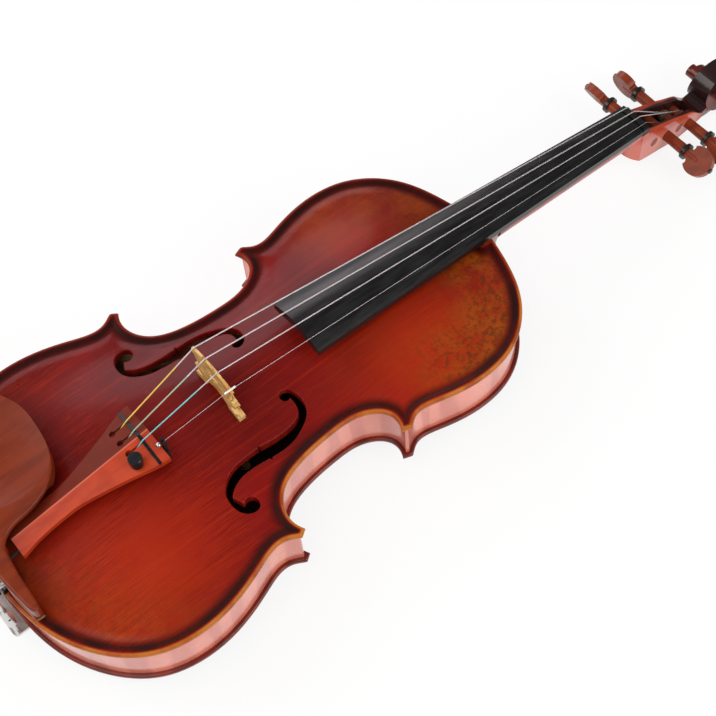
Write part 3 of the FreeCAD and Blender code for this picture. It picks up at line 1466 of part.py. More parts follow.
def make_strings():
    least = None
    for name, order, wind_x in STRINGS:
        radius = mm("string_" + name + "_radius")
        points, bends, (turn_radius, angle) = string_points(name, order, wind_x)
        solid = cord(cord_wire(points, bends), radius, "string_" + name)
        ball = Part.makeSphere(mm("ball_radius"), points[0])
        if name == "e":
            behind = Vector(0, mm("ball_radius") + mm("tuner_lever_thick"), 0)
            ball = Part.makeSphere(mm("ball_radius"), points[0] - behind)
            shape_node("tuner_ball", ball)
        else:
            solid = one_solid(solid.fuse(ball))
        shape_node("string_" + name, solid)
        share, side, _ = PEG_AT[name]
        axis = peg_axis(share)
        centre = Vector(wind_x, axis.y, axis.z)
        coil = helix_arcs(centre, turn_radius, angle, -1, mm("winding_pitch"), mm("winding_turns"), side)
        shape_node("winding_" + name, cord(coil, radius, "winding_" + name))
        gap = mm("winding_pitch") - radius * 2
        least = gap if least is None else min(least, gap)
    print("least gap between turns", round(least, 3))


make_strings()


# Pegs

def side_turn(side, twist=0.0):
    seat = FreeCAD.Rotation(Vector(0, 1, 0), 90 * side)
    return FreeCAD.Rotation(Vector(1, 0, 0), twist).multiply(seat)


def make_peg(name, share, side, twist):
    # Local Z runs along the peg, from the collar to the head
    half = (size("pegbox_nut_width") + (size("pegbox_end_width") - size("pegbox_nut_width")) * share) / 2
    tip = -(half + size("peg_stand") + half)
    head = size("peg_collar_width") + size("peg_head_radius")
    body = turned_body("peg_" + name, [(0, tip), (size("peg_tip_radius"), tip), (size("peg_radius"), 0),
                                       (size("peg_radius"), size("peg_collar_width")),
                                       (size("peg_neck_radius"), size("peg_collar_width")),
                                       (size("peg_neck_radius"), head), (0, head)])
    disc = new_sketch(body, "peg_" + name + "_disc", "XZ_Plane")
    draw_circle(disc, 0, head, size("peg_head_radius"))
    pad = body.newObject("PartDesign::Pad", "peg_" + name + "_head")
    pad.Profile = disc
    pad.Length = number(size("peg_head_thick"))
    bind(pad, "Length", size("peg_head_thick"))
    pad.Midplane = True
    notches = new_sketch(body, "peg_" + name + "_notches", "XZ_Plane")
    out = size("peg_neck_radius") + size("peg_notch_radius")
    level = size("peg_collar_width") + size("peg_neck_length") - size("peg_notch_radius")
    for way in (out, -out):
        draw_circle(notches, way, level, size("peg_notch_radius"))
    pocket = body.newObject("PartDesign::Pocket", "peg_" + name + "_notching")
    pocket.Profile = notches
    pocket.Length = number(size("peg_head_radius"))
    bind(pocket, "Length", size("peg_head_radius"))
    pocket.Midplane = True
    along = nut_place + Size(share * mm("pegbox_length") * math.cos(HEAD_SLOPE)
                             - mm("peg_drop") * math.sin(HEAD_SLOPE),
                             "(Sizes.pegbox_length * " + repr(share)
                             + " * cos(Sizes.neck_angle + Sizes.head_tilt)"
                             " - Sizes.peg_drop * sin(Sizes.neck_angle + Sizes.head_tilt))")
    high = Size(peg_axis(share).z,
                "(Sizes.back_arch + 2 * Sizes.edge_thick + Sizes.rib_height + Sizes.overstand"
                " - Sizes.neck_stop * tan(Sizes.neck_angle)"
                " - Sizes.pegbox_length * " + repr(share) + " * sin(Sizes.neck_angle + Sizes.head_tilt)"
                " - Sizes.peg_drop * cos(Sizes.neck_angle + Sizes.head_tilt))")
    out_x = (half + size("peg_stand")) * float(side)
    place(body, out_x, along, high, side_turn(side, twist))
    node(body, "peg_" + name)

    def beyond(distance):
        return out_x + distance * float(side)

    ring = part_cylinder("ring_" + name, size("peg_collar_radius"), size("peg_collar_width"),
                         out_x, along, high, side_turn(side))
    bore = part_cylinder("bore_" + name, size("peg_radius") + size("peg_fit"), size("peg_collar_width"),
                         out_x, along, high, side_turn(side))
    collar = part_join("Part::Cut", "collar_" + name, ring, bore)
    pin = part_cylinder("pin_" + name, size("peg_pin_radius"), size("peg_pin_length"),
                        beyond(head + size("peg_head_radius") - size("peg_pin_length") * 0.25),
                        along, high, side_turn(side))
    pin_cut = part_join("Part::Cut", "end_" + name, pin, body)
    trim = doc.addObject("Part::Compound", "peg_trim_" + name)
    trim.Links = [collar, pin_cut]
    node(trim, "peg_trim_" + name)


for peg in PEGS:
    make_peg(*peg)


# End button

button = turned_body("end_button", [
    (0, -size("end_block_depth")), (size("end_button_shank"), -size("end_block_depth")),
    (size("end_button_shank"), 0), (size("end_button_neck"), 0),
    (size("end_button_neck"), size("end_button_stand")),
    (size("end_button_radius") - size("end_button_stand") * 0.2, size("end_button_stand")),
    (size("end_button_radius"), size("end_button_stand") + size("end_button_head") * 0.3),
    (size("end_button_radius"), size("end_button_stand") + size("end_button_head") * 0.7),
    (size("end_button_radius") - size("end_button_head") * 0.3, size("end_button_stand") + size("end_button_head")),
    (0, size("end_button_stand") + size("end_button_head"))])
place(button, 0.0, size("overhang") + 0.0, back_plane + size("rib_height") / 2,
      FreeCAD.Rotation(Vector(1, 0, 0), 90))
node(button, "end_button")


# Fine tuner of the E string

def make_tuner():
    x = X_TUNER
    gauge = mm("tuner_gauge") / 2
    plate = mm("tuner_plate")
    lever_half = gauge - plate - mm("string_clear")
    y_end = Y_PIVOT + mm("tuner_pin_radius") * 2
    y_back = Y_SLOT - gauge
    y_stop = Y_TAIL + mm("tail_length") - mm("string_clear")
    frame = box(x - gauge, x + gauge, y_back, y_stop, Z_PLATE, Z_SEAT)
    for sign in (1, -1):
        inner = x + sign * (gauge - plate)
        outer = x + sign * gauge
        near, far = sorted((inner, outer))
        frame = frame.fuse(box(near, far, y_stop - mm("tuner_drop"), y_end,
                               Z_PIVOT - mm("tuner_pin_radius") * 2, Z_SEAT))
    thread = mm("tuner_screw_radius") + mm("tuner_screw_fit")
    pin = mm("tuner_pin_radius")
    across = Vector(1, 0, 0)
    pivot = Vector(x - gauge, Y_PIVOT, Z_PIVOT)
    frame = frame.cut(Part.makeCylinder(thread, over, Vector(x, Y_SLOT, Z_PLATE - plate)))
    frame = frame.cut(Part.makeCylinder(pin, gauge * 2, pivot, across))
    shape_node("tuner_frame", one_solid(frame.removeSplitter()))
    shape_node("tuner_pivot", Part.makeCylinder(pin, gauge * 2, pivot, across))

    ring_radius = mm("tuner_knob_radius") * 0.9
    seat = tail_top(x - ring_radius, Y_SLOT + ring_radius) + mm("tuner_screw_fit")
    ring = Part.makeCylinder(ring_radius, mm("tuner_ring"), Vector(x, Y_SLOT, seat))
    sleeve = Part.makeCylinder(mm("tuner_screw_radius") + mm("tuner_ring") / 2 - mm("tuner_screw_fit"),
                               seat - Z_SEAT, Vector(x, Y_SLOT, Z_SEAT))
    bore = Part.makeCylinder(thread, over, Vector(x, Y_SLOT, Z_SEAT - plate))
    shape_node("tuner_ring_nut", one_solid(ring.fuse(sleeve).cut(bore)))

    thick = mm("tuner_lever_thick")
    arm_top = Z_PIVOT + thick / 2
    knob_low = seat + mm("tuner_ring") + mm("tuner_travel")
    knob_depth = mm("tuner_knob_length") * 0.6
    fit = mm("tuner_screw_fit")
    foot = Vector(x, Y_SLOT, arm_top + fit)
    shape_node("tuner_shank", Part.makeCylinder(mm("tuner_screw_radius"), knob_low + knob_depth - fit * 2
                                                - arm_top, foot))
    knob = Part.makeCylinder(mm("tuner_knob_radius"), mm("tuner_knob_length"), Vector(x, Y_SLOT, knob_low))
    knob = knob.makeChamfer(mm("tuner_ring") * 0.3, [knob.Edges[0], knob.Edges[2]])
    knob = knob.cut(Part.makeCylinder(thread, knob_depth, Vector(x, Y_SLOT, knob_low)))
    shape_node("tuner_knob", one_solid(knob))

    arm = box(x - lever_half, x + lever_half, Y_SLOT - thick, Y_PIVOT + thick, Z_PIVOT - thick / 2, arm_top)
    boss = Part.makeCylinder(thick, lever_half * 2, Vector(x - lever_half, Y_PIVOT, Z_PIVOT), across)
    rise = Z_HOOK + mm("ball_radius")
    post = box(x - lever_half, x + lever_half, Y_PIVOT, Y_PIVOT + thick, Z_PIVOT, Z_HOOK)
    wide = mm("ball_radius") + mm("hook_gap") / 2
    prongs = box(x - wide, x + wide, Y_PIVOT, Y_PIVOT + thick, Z_HOOK - mm("ball_radius"), rise)
    gap = mm("hook_gap") / 2
    slot = box(x - gap, x + gap, Y_PIVOT - thick, Y_PIVOT + thick * 2, Z_HOOK - gap, rise + over)
    lever = arm.fuse(boss).fuse(post).fuse(prongs).cut(slot)
    lever = lever.cut(Part.makeCylinder(pin + mm("tuner_screw_fit"), gauge * 2, pivot, across))
    shape_node("tuner_lever", one_solid(lever.removeSplitter()))


make_tuner()


# Chin rest and its clamp

# Plan of the chin rest: x as a share of the reach to its side, y of its depth
REST_SHARES = [(-0.38, 0.035), (-0.58, 0.075), (-0.76, 0.155), (-0.90, 0.28), (-0.985, 0.45),
               (-1.0, 0.62), (-0.93, 0.79), (-0.782, 0.92), (-0.68, 0.981), (-0.567, 1.0),
               (-0.443, 0.99), (-0.33, 0.966), (-0.224, 0.913), (-0.147, 0.834), (-0.098, 0.74),
               (-0.064, 0.632), (-0.040, 0.497), (-0.029, 0.382), (0.0, 0.284), (0.10, 0.221),
               (0.237, 0.20), (0.396, 0.187), (0.589, 0.178), (0.772, 0.172), (0.918, 0.165),
               (1.0, 0.144), (1.0, 0.115), (0.935, 0.087), (0.789, 0.072), (0.615, 0.056),
               (0.428, 0.046), (0.20, 0.03), (-0.10, 0.024)]
REST_LIPS = [(-0.64, -0.27), (0.52, 0.92)]
DISH_SHARES = (-0.53, 0.56, 0.62, 0.36)


def rest_face(inset, z):
    points = []
    for x, y in REST_SHARES:
        reach = mm("rest_reach") if x < 0 else mm("rest_arm_reach")
        points.append(Vector(x * reach, y * mm("rest_depth"), z))
    curve = Part.BSplineCurve()
    curve.interpolate(Points=points, PeriodicFlag=True)
    wire = Part.Wire([curve.toShape()])
    if inset:
        return Part.Face(wire).makeOffset2D(-inset).Wires[0]
    return wire


def make_chinrest():
    top = mm("rest_top")
    low = top - mm("rest_thick")
    soft = mm("rest_thick") * 0.18
    face = Part.Face(rest_face(0, low))
    rest = face.extrude(Vector(0, 0, mm("rest_thick")))
    rims = [edge for edge in rest.Edges if abs(edge.BoundBox.ZMin - top) < soft
            and abs(edge.BoundBox.ZMax - top) < soft]
    rest = rest.makeFillet(soft, rims)
    x, y, long_share, wide_share = DISH_SHARES
    radius = mm("rest_reach") * long_share * mm("rest_depth") * wide_share / mm("rest_dish") / 2
    bowl = Part.makeSphere(radius, Vector(x * mm("rest_reach"), y * mm("rest_depth"),
                                          top - mm("rest_dish") + radius))
    rest = rest.cut(bowl)
    relief = mm("tail_small") / 2 + mm("string_clear") * 6
    highest = tail_top(0, Y_TAIL + mm("rest_depth") * 0.4) + mm("string_clear") * 3
    rest = rest.cut(box(-relief, relief, Y_TAIL - mm("rod_radius") * 3, Y_TAIL + mm("rest_depth"),
                        low - over, highest))
    cork = z_top_edge + mm("cork_thick")
    corks = []
    for first, last in REST_LIPS:
        reach = mm("rest_reach") if first < 0 else mm("rest_arm_reach")
        zone = box(first * reach, last * reach, 0, mm("rest_lip") + mm("margin"), cork, low + soft)
        lip = zone.common(Part.Face(rest_face(0, cork)).extrude(Vector(0, 0, low + soft - cork)))
        lip = lip.common(prism(PLAN, cork, low + soft)).cut(UNDER_TOP_SKIN)
        rest = rest.fuse(lip)
        pad = lip.copy()
        pad.translate(Vector(0, 0, -mm("cork_thick")))
        pad = pad.common(box(first * reach, last * reach, 0, mm("rest_lip") + mm("margin"),
                             z_top_edge - over, cork))
        corks.append(pad.cut(UNDER_TOP_SKIN))
    rods = []
    y_rod = -mm("clamp_stand")
    for sign in (1, -1):
        x_rod = sign * mm("clamp_spacing") / 2
        foot = Vector(x_rod, y_rod, Z_BUTTON + mm("barrel_length") * 0.15)
        bend = mm("rod_radius") * 2
        corner = Vector(x_rod, y_rod, low + mm("rest_thick") * 0.35)
        end = Vector(x_rod, mm("rest_lip") + mm("margin"), corner.z)
        rod_wire = cord_wire([foot, corner, end], [bend])
        rod = cord(rod_wire, mm("rod_radius"), "clamp_rod")
        rods.append(rod)
        rest = rest.cut(rod)
    shape_node("chinrest", one_solid(rest))
    shape_node("chinrest_cork", Part.makeCompound(corks))
    shape_node("chinrest_rods", Part.makeCompound(rods))


PLAN = plan_face()
make_chinrest()


def make_clamp():
    y_rod = -mm("clamp_stand")
    half = mm("barrel_length") / 2
    for label, sign in (("barrel_bass", -1), ("barrel_treble", 1)):
        low = back_plane + size("rib_height") / 2 - size("barrel_length") / 2
        x = size("clamp_spacing") * (sign / 2)
        outer = part_cylinder(label + "_outer", size("barrel_radius"), size("barrel_length"),
                              x, -size("clamp_stand"), low)
        bore = part_cylinder(label + "_bore", size("rod_radius") + size("rod_fit"),
                             size("barrel_length"), x, -size("clamp_stand"), low)
        pierced = part_join("Part::Cut", label + "_pierced", outer, bore)
        cross = part_cylinder(label + "_cross", size("rod_radius") * 0.6, size("barrel_radius") * 2.0,
                              x - size("barrel_radius"), -size("clamp_stand"),
                              low + size("barrel_length") * 0.5, side_turn(1))
        barrel = part_join("Part::Cut", label, pierced, cross)
        node(barrel, label)
    top = z_back_edge - mm("cork_thick")
    x = mm("clamp_spacing") / 2
    edge = x + mm("barrel_radius")
    plate = box(-edge, edge, y_rod - mm("barrel_radius"), mm("foot_reach"), top - mm("foot_thick"), top)
    corners = [e for e in plate.Edges if abs(e.Length - mm("foot_thick")) < mm("rod_fit")]
    plate = plate.makeFillet(mm("barrel_radius") * 0.9, corners)
    for sign in (1, -1):
        rod = Part.makeCylinder(mm("rod_radius"), Z_BUTTON - half * 0.3 - top,
                                Vector(sign * x, y_rod, top))
        plate = plate.fuse(rod)
    shape_node("clamp_foot", one_solid(plate))
    high = z_back_edge - mm("rod_fit")
    pad = prism(PLAN, top, high).common(box(-edge, edge, 0, mm("margin"), top, high))
    shape_node("clamp_cork", one_solid(pad))


make_clamp()


# Checks and files

doc.recompute()
for item in doc.Objects:
    if "Invalid" in item.State or "Error" in item.State:
        raise ValueError("not computed: " + item.Label)
for item in nodes:
    if item.Shape.isNull() or not item.Shape.isValid():
        raise ValueError("not a sound solid: " + item.Label)
os.makedirs("parts", exist_ok=True)
for item in nodes:
    item.Shape.exportStep("parts/" + item.Label + ".step")
print(len(nodes), "pieces written")
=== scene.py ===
import math

import bmesh
import bpy
import numpy as np
from mathutils import Matrix, Vector, geometry


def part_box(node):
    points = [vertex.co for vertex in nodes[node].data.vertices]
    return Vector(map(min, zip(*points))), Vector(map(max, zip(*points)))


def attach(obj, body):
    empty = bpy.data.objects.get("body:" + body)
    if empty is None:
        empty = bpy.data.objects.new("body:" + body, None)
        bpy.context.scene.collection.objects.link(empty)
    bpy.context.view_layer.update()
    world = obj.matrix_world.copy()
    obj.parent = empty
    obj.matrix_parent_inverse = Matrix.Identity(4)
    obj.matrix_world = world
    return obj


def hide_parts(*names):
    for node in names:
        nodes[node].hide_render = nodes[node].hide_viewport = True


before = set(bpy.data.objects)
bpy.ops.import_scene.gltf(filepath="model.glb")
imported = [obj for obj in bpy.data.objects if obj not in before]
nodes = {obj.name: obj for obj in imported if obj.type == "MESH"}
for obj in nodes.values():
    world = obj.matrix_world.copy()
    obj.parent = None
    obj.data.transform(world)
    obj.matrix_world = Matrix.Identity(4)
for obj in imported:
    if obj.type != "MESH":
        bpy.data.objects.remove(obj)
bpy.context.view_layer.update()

print("frame loaded:", len(nodes), "nodes")


# y of the body's tail edge, from the end button that stands out of it
buttonReach = 0.0085
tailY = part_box("end_button")[0][1] + buttonReach

# Camera that took the picture: place over the body, and focal length in pixels of the picture
cameraSetup = {
    "aim": (0.0262, 0.23952, 0.048),
    "azimuth": 55.93,
    "elevation": 59.52,
    "roll": -5.64,
    "distance": 0.85836,
    "focalPixels": 1465.59,
    "imagePixels": 716.0,
    "sensor": 36.0,
    "clipStart": 0.01,
}


def makeCamera():
    setup = cameraSetup
    azimuth = math.radians(setup["azimuth"])
    elevation = math.radians(setup["elevation"])
    roll = math.radians(setup["roll"])
    forward = Vector((-math.sin(azimuth) * math.cos(elevation),
                      math.cos(azimuth) * math.cos(elevation), -math.sin(elevation)))
    right = Vector((math.cos(azimuth), math.sin(azimuth), 0.0))
    up = right.cross(forward)
    right, up = (right * math.cos(roll) + up * math.sin(roll),
                 up * math.cos(roll) - right * math.sin(roll))
    aim = Vector(setup["aim"]) + Vector((0.0, tailY, 0.0))
    data = bpy.data.cameras.new("pictureCamera")
    data.lens = setup["sensor"] * setup["focalPixels"] / setup["imagePixels"]
    data.sensor_width = setup["sensor"]
    data.clip_start = setup["clipStart"]
    camera = bpy.data.objects.new("pictureCamera", data)
    bpy.context.scene.collection.objects.link(camera)
    turn = Matrix((right, up, -forward)).transposed().to_4x4()
    camera.matrix_world = Matrix.Translation(aim - forward * setup["distance"]) @ turn
    bpy.context.scene.camera = camera
    print("camera placed, lens", round(data.lens, 1), "mm")


makeCamera()
bpy.context.scene.view_settings.view_transform = "Standard"


# Plates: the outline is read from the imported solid, the skin is made afresh
plateSizes = {
    "length": 0.356, "lowerBout": 0.208, "waist": 0.111, "upperBout": 0.1684,
    "margin": 0.006, "innerMargin": 0.008, "arch": 0.0115, "backArch": 0.011,
    "edge": 0.004, "wall": 0.003, "backWall": 0.0044, "innerDrop": 0.002,
    "channelDepth": 0.0009, "channelPlace": 0.0068, "channelWidth": 0.0032,
    "alongPower": 1.9, "acrossPower": 1.15, "bead": 0.0019, "lowerBead": 0.0012, "leastWall": 0.0004,
    "holeBead": 0.0005, "smoothAngle": 50,
}
# How finely the skins are made, and how their outlines are picked out of the solid's mesh
plateMesh = {
    "step": 0.0011, "holeStep": 0.00066, "grid": 0.0023, "gridGap": 0.5, "holeGap": 0.7, "ringKeep": 0.93,
    "rings": (0.00012, 0.0004, 0.00085, 0.0014, 0.002, 0.0028, 0.0038, 0.005, 0.0062, 0.0075,
              0.009, 0.011),
    "holeRings": (0.00015, 0.0004, 0.0009),
    "mergeGap": 0.000002, "upright": 0.3, "cornerTurn": 0.6, "holeWidest": 0.06, "holeShortest": 0.04,
    "holePoints": 20, "batch": 4000, "sameSpot": 0.0000001,
}
# Half-width of the arched field, smoothly through these rows: share of the length, then shares of
# the widths of the lower bout, the waist and the upper bout
fieldShares = [(0.0, 0.78, 0, 0), (0.06, 0.86, 0, 0), (0.2, 1.0, 0, 0), (0.31, 0.93, 0, 0),
               (0.40, 0.45, 0.60, 0), (0.47, 0.12, 0.92, 0), (0.555, 0, 1.03, 0),
               (0.63, 0, 0.90, 0.15), (0.69, 0, 0.45, 0.60), (0.76, 0, 0, 0.96),
               (0.82, 0, 0, 1.0), (0.92, 0, 0, 0.92), (1.0, 0, 0, 0.80)]


def fieldHalf(y):
    sizes = plateSizes
    places = np.array([row[0] for row in fieldShares]) * sizes["length"]
    wide = np.array([row[1] * sizes["lowerBout"] + row[2] * sizes["waist"]
                     + row[3] * sizes["upperBout"] for row in fieldShares]) / 2
    slopes = np.gradient(wide, places)
    y = np.clip(y, 0.0, sizes["length"])
    index = np.clip(np.searchsorted(places, y) - 1, 0, len(places) - 2)
    span = places[index + 1] - places[index]
    t = (y - places[index]) / span
    return ((2 * t**3 - 3 * t**2 + 1) * wide[index] + (t**3 - 2 * t**2 + t) * span * slopes[index]
            + (3 * t**2 - 2 * t**3) * wide[index + 1] + (t**3 - t**2) * span * slopes[index + 1])


def fullness(x, y, margin):
    # 1 at the middle of the arch, 0 at the margin
    sizes = plateSizes
    half = sizes["length"] / 2
    along = np.minimum(np.abs(y - half) / (half - margin), 1.0)**sizes["alongPower"]
    across = np.minimum(np.abs(x) / (fieldHalf(y) - margin), 1.0)**sizes["acrossPower"]
    return (0.5 + 0.5 * np.cos(np.pi * along)) * (0.5 + 0.5 * np.cos(np.pi * across))


def wallLoops(name, up):
    # Closed outlines where the solid's upright walls meet its upper side, or its lower one if up is -1
    mesh = bmesh.new()
    mesh.from_mesh(nodes[name].data)
    bmesh.ops.remove_doubles(mesh, verts=mesh.verts, dist=plateMesh["mergeGap"])
    mesh.normal_update()
    links = {}
    for edge in mesh.edges:
        if len(edge.link_faces) != 2:
            continue
        upright = [abs(face.normal.z) < plateMesh["upright"] for face in edge.link_faces]
        if upright[0] == upright[1]:
            continue
        other = edge.link_faces[0] if upright[1] else edge.link_faces[1]
        if other.normal.z * up < plateMesh["upright"]:
            continue
        a, b = (vert.index for vert in edge.verts)
        links.setdefault(a, []).append(b)
        links.setdefault(b, []).append(a)
    mesh.verts.ensure_lookup_table()
    loops = []
    left = {key for key, ends in links.items() if len(ends) == 2}
    while left:
        start = left.pop()
        chain = [start]
        here = links[start][0]
        while here in left:
            left.discard(here)
            chain.append(here)
            ends = links[here]
            here = ends[0] if ends[0] != chain[-2] else ends[1]
        loops.append(np.array([[mesh.verts[i].co.x, mesh.verts[i].co.y - tailY] for i in chain]))
    mesh.free()
    return loops


def resampled(loop, step):
    # Even steps along a closed outline, with its sharp corners kept
    ahead = np.roll(loop, -1, axis=0) - loop
    behind = loop - np.roll(loop, 1, axis=0)
    turn = np.abs((np.arctan2(ahead[:, 1], ahead[:, 0]) - np.arctan2(behind[:, 1], behind[:, 0])
                   + np.pi) % (2 * np.pi) - np.pi)
    corners = [i for i in range(len(loop)) if turn[i] > plateMesh["cornerTurn"]]
    if not corners:
        corners = [0]
    points = []
    for place, first in enumerate(corners):
        last = corners[(place + 1) % len(corners)]
        count = (last - first) % len(loop) or len(loop)
        run = np.array([loop[(first + k) % len(loop)] for k in range(count + 1)])
        steps = np.hypot(*np.diff(run, axis=0).T)
        total = np.concatenate(([0.0], np.cumsum(steps)))
        pieces = max(1, int(round(total[-1] / step)))
        at = np.linspace(0.0, total[-1], pieces + 1)[:-1]
        points += list(zip(np.interp(at, total, run[:, 0]), np.interp(at, total, run[:, 1])))
    return np.array(points)


def distanceTo(loop, points):
    # Shortest way from each point to a closed outline, worked out in batches
    batch = plateMesh["batch"]
    way = np.roll(loop, -1, axis=0) - loop
    length = (way**2).sum(axis=1)
    best = np.empty(len(points))
    for first in range(0, len(points), batch):
        part = points[first:first + batch]
        off = part[:, None, :] - loop[None, :, :]
        t = np.clip((off * way[None]).sum(axis=2) / length[None], 0.0, 1.0)
        near = off - t[..., None] * way[None]
        best[first:first + batch] = np.sqrt((near**2).sum(axis=2)).min(axis=1)
    return best


def inside(loop, points):
    # Which points a closed outline goes round
    x, y = points[:, 0], points[:, 1]
    result = np.zeros(len(points), bool)
    for a, b in zip(loop, np.roll(loop, -1, axis=0)):
        if a[1] != b[1]:
            crosses = (a[1] > y) != (b[1] > y)
            result ^= crosses & (x < (b[0] - a[0]) * (y - a[1]) / (b[1] - a[1]) + a[0])
    return result


def offsetPoints(loop, distance):
    # The outline's points moved inwards
    ahead = np.roll(loop, -1, axis=0) - np.roll(loop, 1, axis=0)
    ahead /= np.hypot(ahead[:, 0], ahead[:, 1])[:, None]
    area = (loop[:, 0] * np.roll(loop[:, 1], -1) - np.roll(loop[:, 0], -1) * loop[:, 1]).sum()
    normal = np.stack([-ahead[:, 1], ahead[:, 0]], axis=1) * (1 if area > 0 else -1)
    return loop + normal * distance


def rounding(away, radius):
    # How far a rounded edge lies off the flat, by the distance from the edge
    return radius - np.sqrt(np.maximum(radius**2 - np.maximum(radius - away, 0.0)**2, 0.0))


def plateOutlines(name, up):
    # The plate's edge and its f-holes, read from the inner side of the solid
    fine = plateMesh
    loops = sorted(wallLoops(name, -up), key=lambda loop: -np.ptp(loop[:, 0]) * np.ptp(loop[:, 1]))
    holes = [resampled(loop, fine["holeStep"]) for loop in loops[1:]
             if np.ptp(loop[:, 0]) < fine["holeWidest"] and np.ptp(loop[:, 1]) > fine["holeShortest"]
             and len(loop) > fine["holePoints"]]
    return resampled(loops[0], fine["step"]), holes


def skinPoints(outline, holes):
    # Places in the plan: the outlines, rings close along them, and a grid over the rest
    fine = plateMesh
    points = [outline] + holes
    for distance in fine["rings"]:
        ring = offsetPoints(outline, distance)
        keep = inside(outline, ring) & (distanceTo(outline, ring) > distance * fine["ringKeep"])
        points.append(ring[keep])
    for hole in holes:
        for distance in fine["holeRings"]:
            ring = offsetPoints(hole, -distance)
            points.append(ring[distanceTo(hole, ring) > distance * fine["ringKeep"]])
    low, high = outline.min(axis=0), outline.max(axis=0)
    grid = np.stack(np.meshgrid(np.arange(low[0], high[0], fine["grid"]),
                                np.arange(low[1], high[1], fine["grid"])), axis=-1).reshape(-1, 2)
    grid = grid[inside(outline, grid)]
    keep = distanceTo(outline, grid) > fine["rings"][-1] + fine["grid"] * fine["gridGap"]
    for hole in holes:
        keep &= ~inside(hole, grid) & (distanceTo(hole, grid) > fine["grid"] * fine["holeGap"])
    points.append(grid[keep])
    return np.concatenate(points)


def skinTriangles(outline, holes):
    # Triangles between those places, with the holes left open
    edges = []
    first = 0
    for loop in [outline] + holes:
        edges += [(first + i, first + (i + 1) % len(loop)) for i in range(len(loop))]
        first += len(loop)
    plan = [Vector(point) for point in skinPoints(outline, holes).tolist()]
    made = geometry.delaunay_2d_cdt(plan, edges, [], 1, plateMesh["sameSpot"])
    spots = np.array([tuple(v) for v in made[0]])
    faces = np.array([tuple(f) for f in made[2]])
    centres = spots[faces].mean(axis=1)
    keep = inside(outline, centres)
    for hole in holes:
        keep &= ~inside(hole, centres)
    faces = faces[keep]
    used = np.unique(faces)
    renumber = np.full(len(spots), -1)
    renumber[used] = np.arange(len(used))
    return spots[used], renumber[faces]


def plateHeights(spots, away, holes, up):
    # Heights of the outer and the inner side over the rim, with the channel and the rounded edges
    sizes = plateSizes
    x, y = spots[:, 0], spots[:, 1]
    rise = sizes["arch"] if up > 0 else sizes["backArch"]
    wall = sizes["wall"] if up > 0 else sizes["backWall"]
    channel = np.exp(-((away - sizes["channelPlace"]) / sizes["channelWidth"])**2)
    outer = rise * fullness(x, y, sizes["margin"]) - sizes["channelDepth"] * channel
    outer -= rounding(away, sizes["bead"])
    for hole in holes:
        outer -= rounding(distanceTo(hole, spots), sizes["holeBead"])
    seat = -sizes["edge"]
    hollowShade = (rise - wall + sizes["edge"] + sizes["innerDrop"]) * fullness(x, y, sizes["innerMargin"])
    inner = np.maximum(seat, seat - sizes["innerDrop"] + hollowShade)
    inner += rounding(away, sizes["lowerBead"])
    return outer, np.minimum(inner, outer - sizes["leastWall"])


def makePlate(name, up):
    # A closed skin in place of the plate's solid
    sizes = plateSizes
    outline, holes = plateOutlines(name, up)
    spots, faces = skinTriangles(outline, holes)
    away = distanceTo(outline, spots)
    outer, inner = plateHeights(spots, away, holes, up)
    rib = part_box("lower_rib_treble")
    level = rib[1][2] + sizes["edge"] if up > 0 else rib[0][2] - sizes["edge"]
    count = len(spots)
    sides = [np.stack([spots[:, 0], spots[:, 1] + tailY, level + up * height], axis=1)
             for height in (outer, inner)]
    rim = dict.fromkeys((a, b) for face in faces for a, b in zip(face, np.roll(face, -1)))
    walls = [(b, a, a + count, b + count) for a, b in rim if (b, a) not in rim]
    skins = [tuple(face) for face in faces] + [tuple(face[::-1] + count) for face in faces]
    mesh = bpy.data.meshes.new(name + "Skin")
    mesh.from_pydata([tuple(v) for v in np.concatenate(sides).tolist()], [],
                     [tuple(int(i) for i in face) for face in skins + walls])
    mesh.update()
    tone = mesh.attributes.new("edgeAway", "FLOAT", "POINT")
    tone.data.foreach_set("value", np.concatenate([away, away]).astype(np.float32))
    plate = bpy.data.objects.new(name + "Skin", mesh)
    bpy.context.scene.collection.objects.link(plate)
    work = bmesh.new()
    work.from_mesh(mesh)
    bmesh.ops.recalc_face_normals(work, faces=work.faces)
    work.to_mesh(mesh)
    work.free()
    for face in mesh.polygons:
        face.use_smooth = True
    bpy.ops.object.select_all(action="DESELECT")
    plate.select_set(True)
    bpy.context.view_layer.objects.active = plate
    bpy.ops.object.shade_smooth_by_angle(angle=math.radians(sizes["smoothAngle"]))
    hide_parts(name, name.replace("plate", "purfling"))
    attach(plate, "instrument")
    print(name, "skin:", len(mesh.vertices), "points,", len(mesh.polygons), "faces,", len(holes), "holes")
    return plate


belly = makePlate("top_plate", 1)
back = makePlate("back_plate", -1)


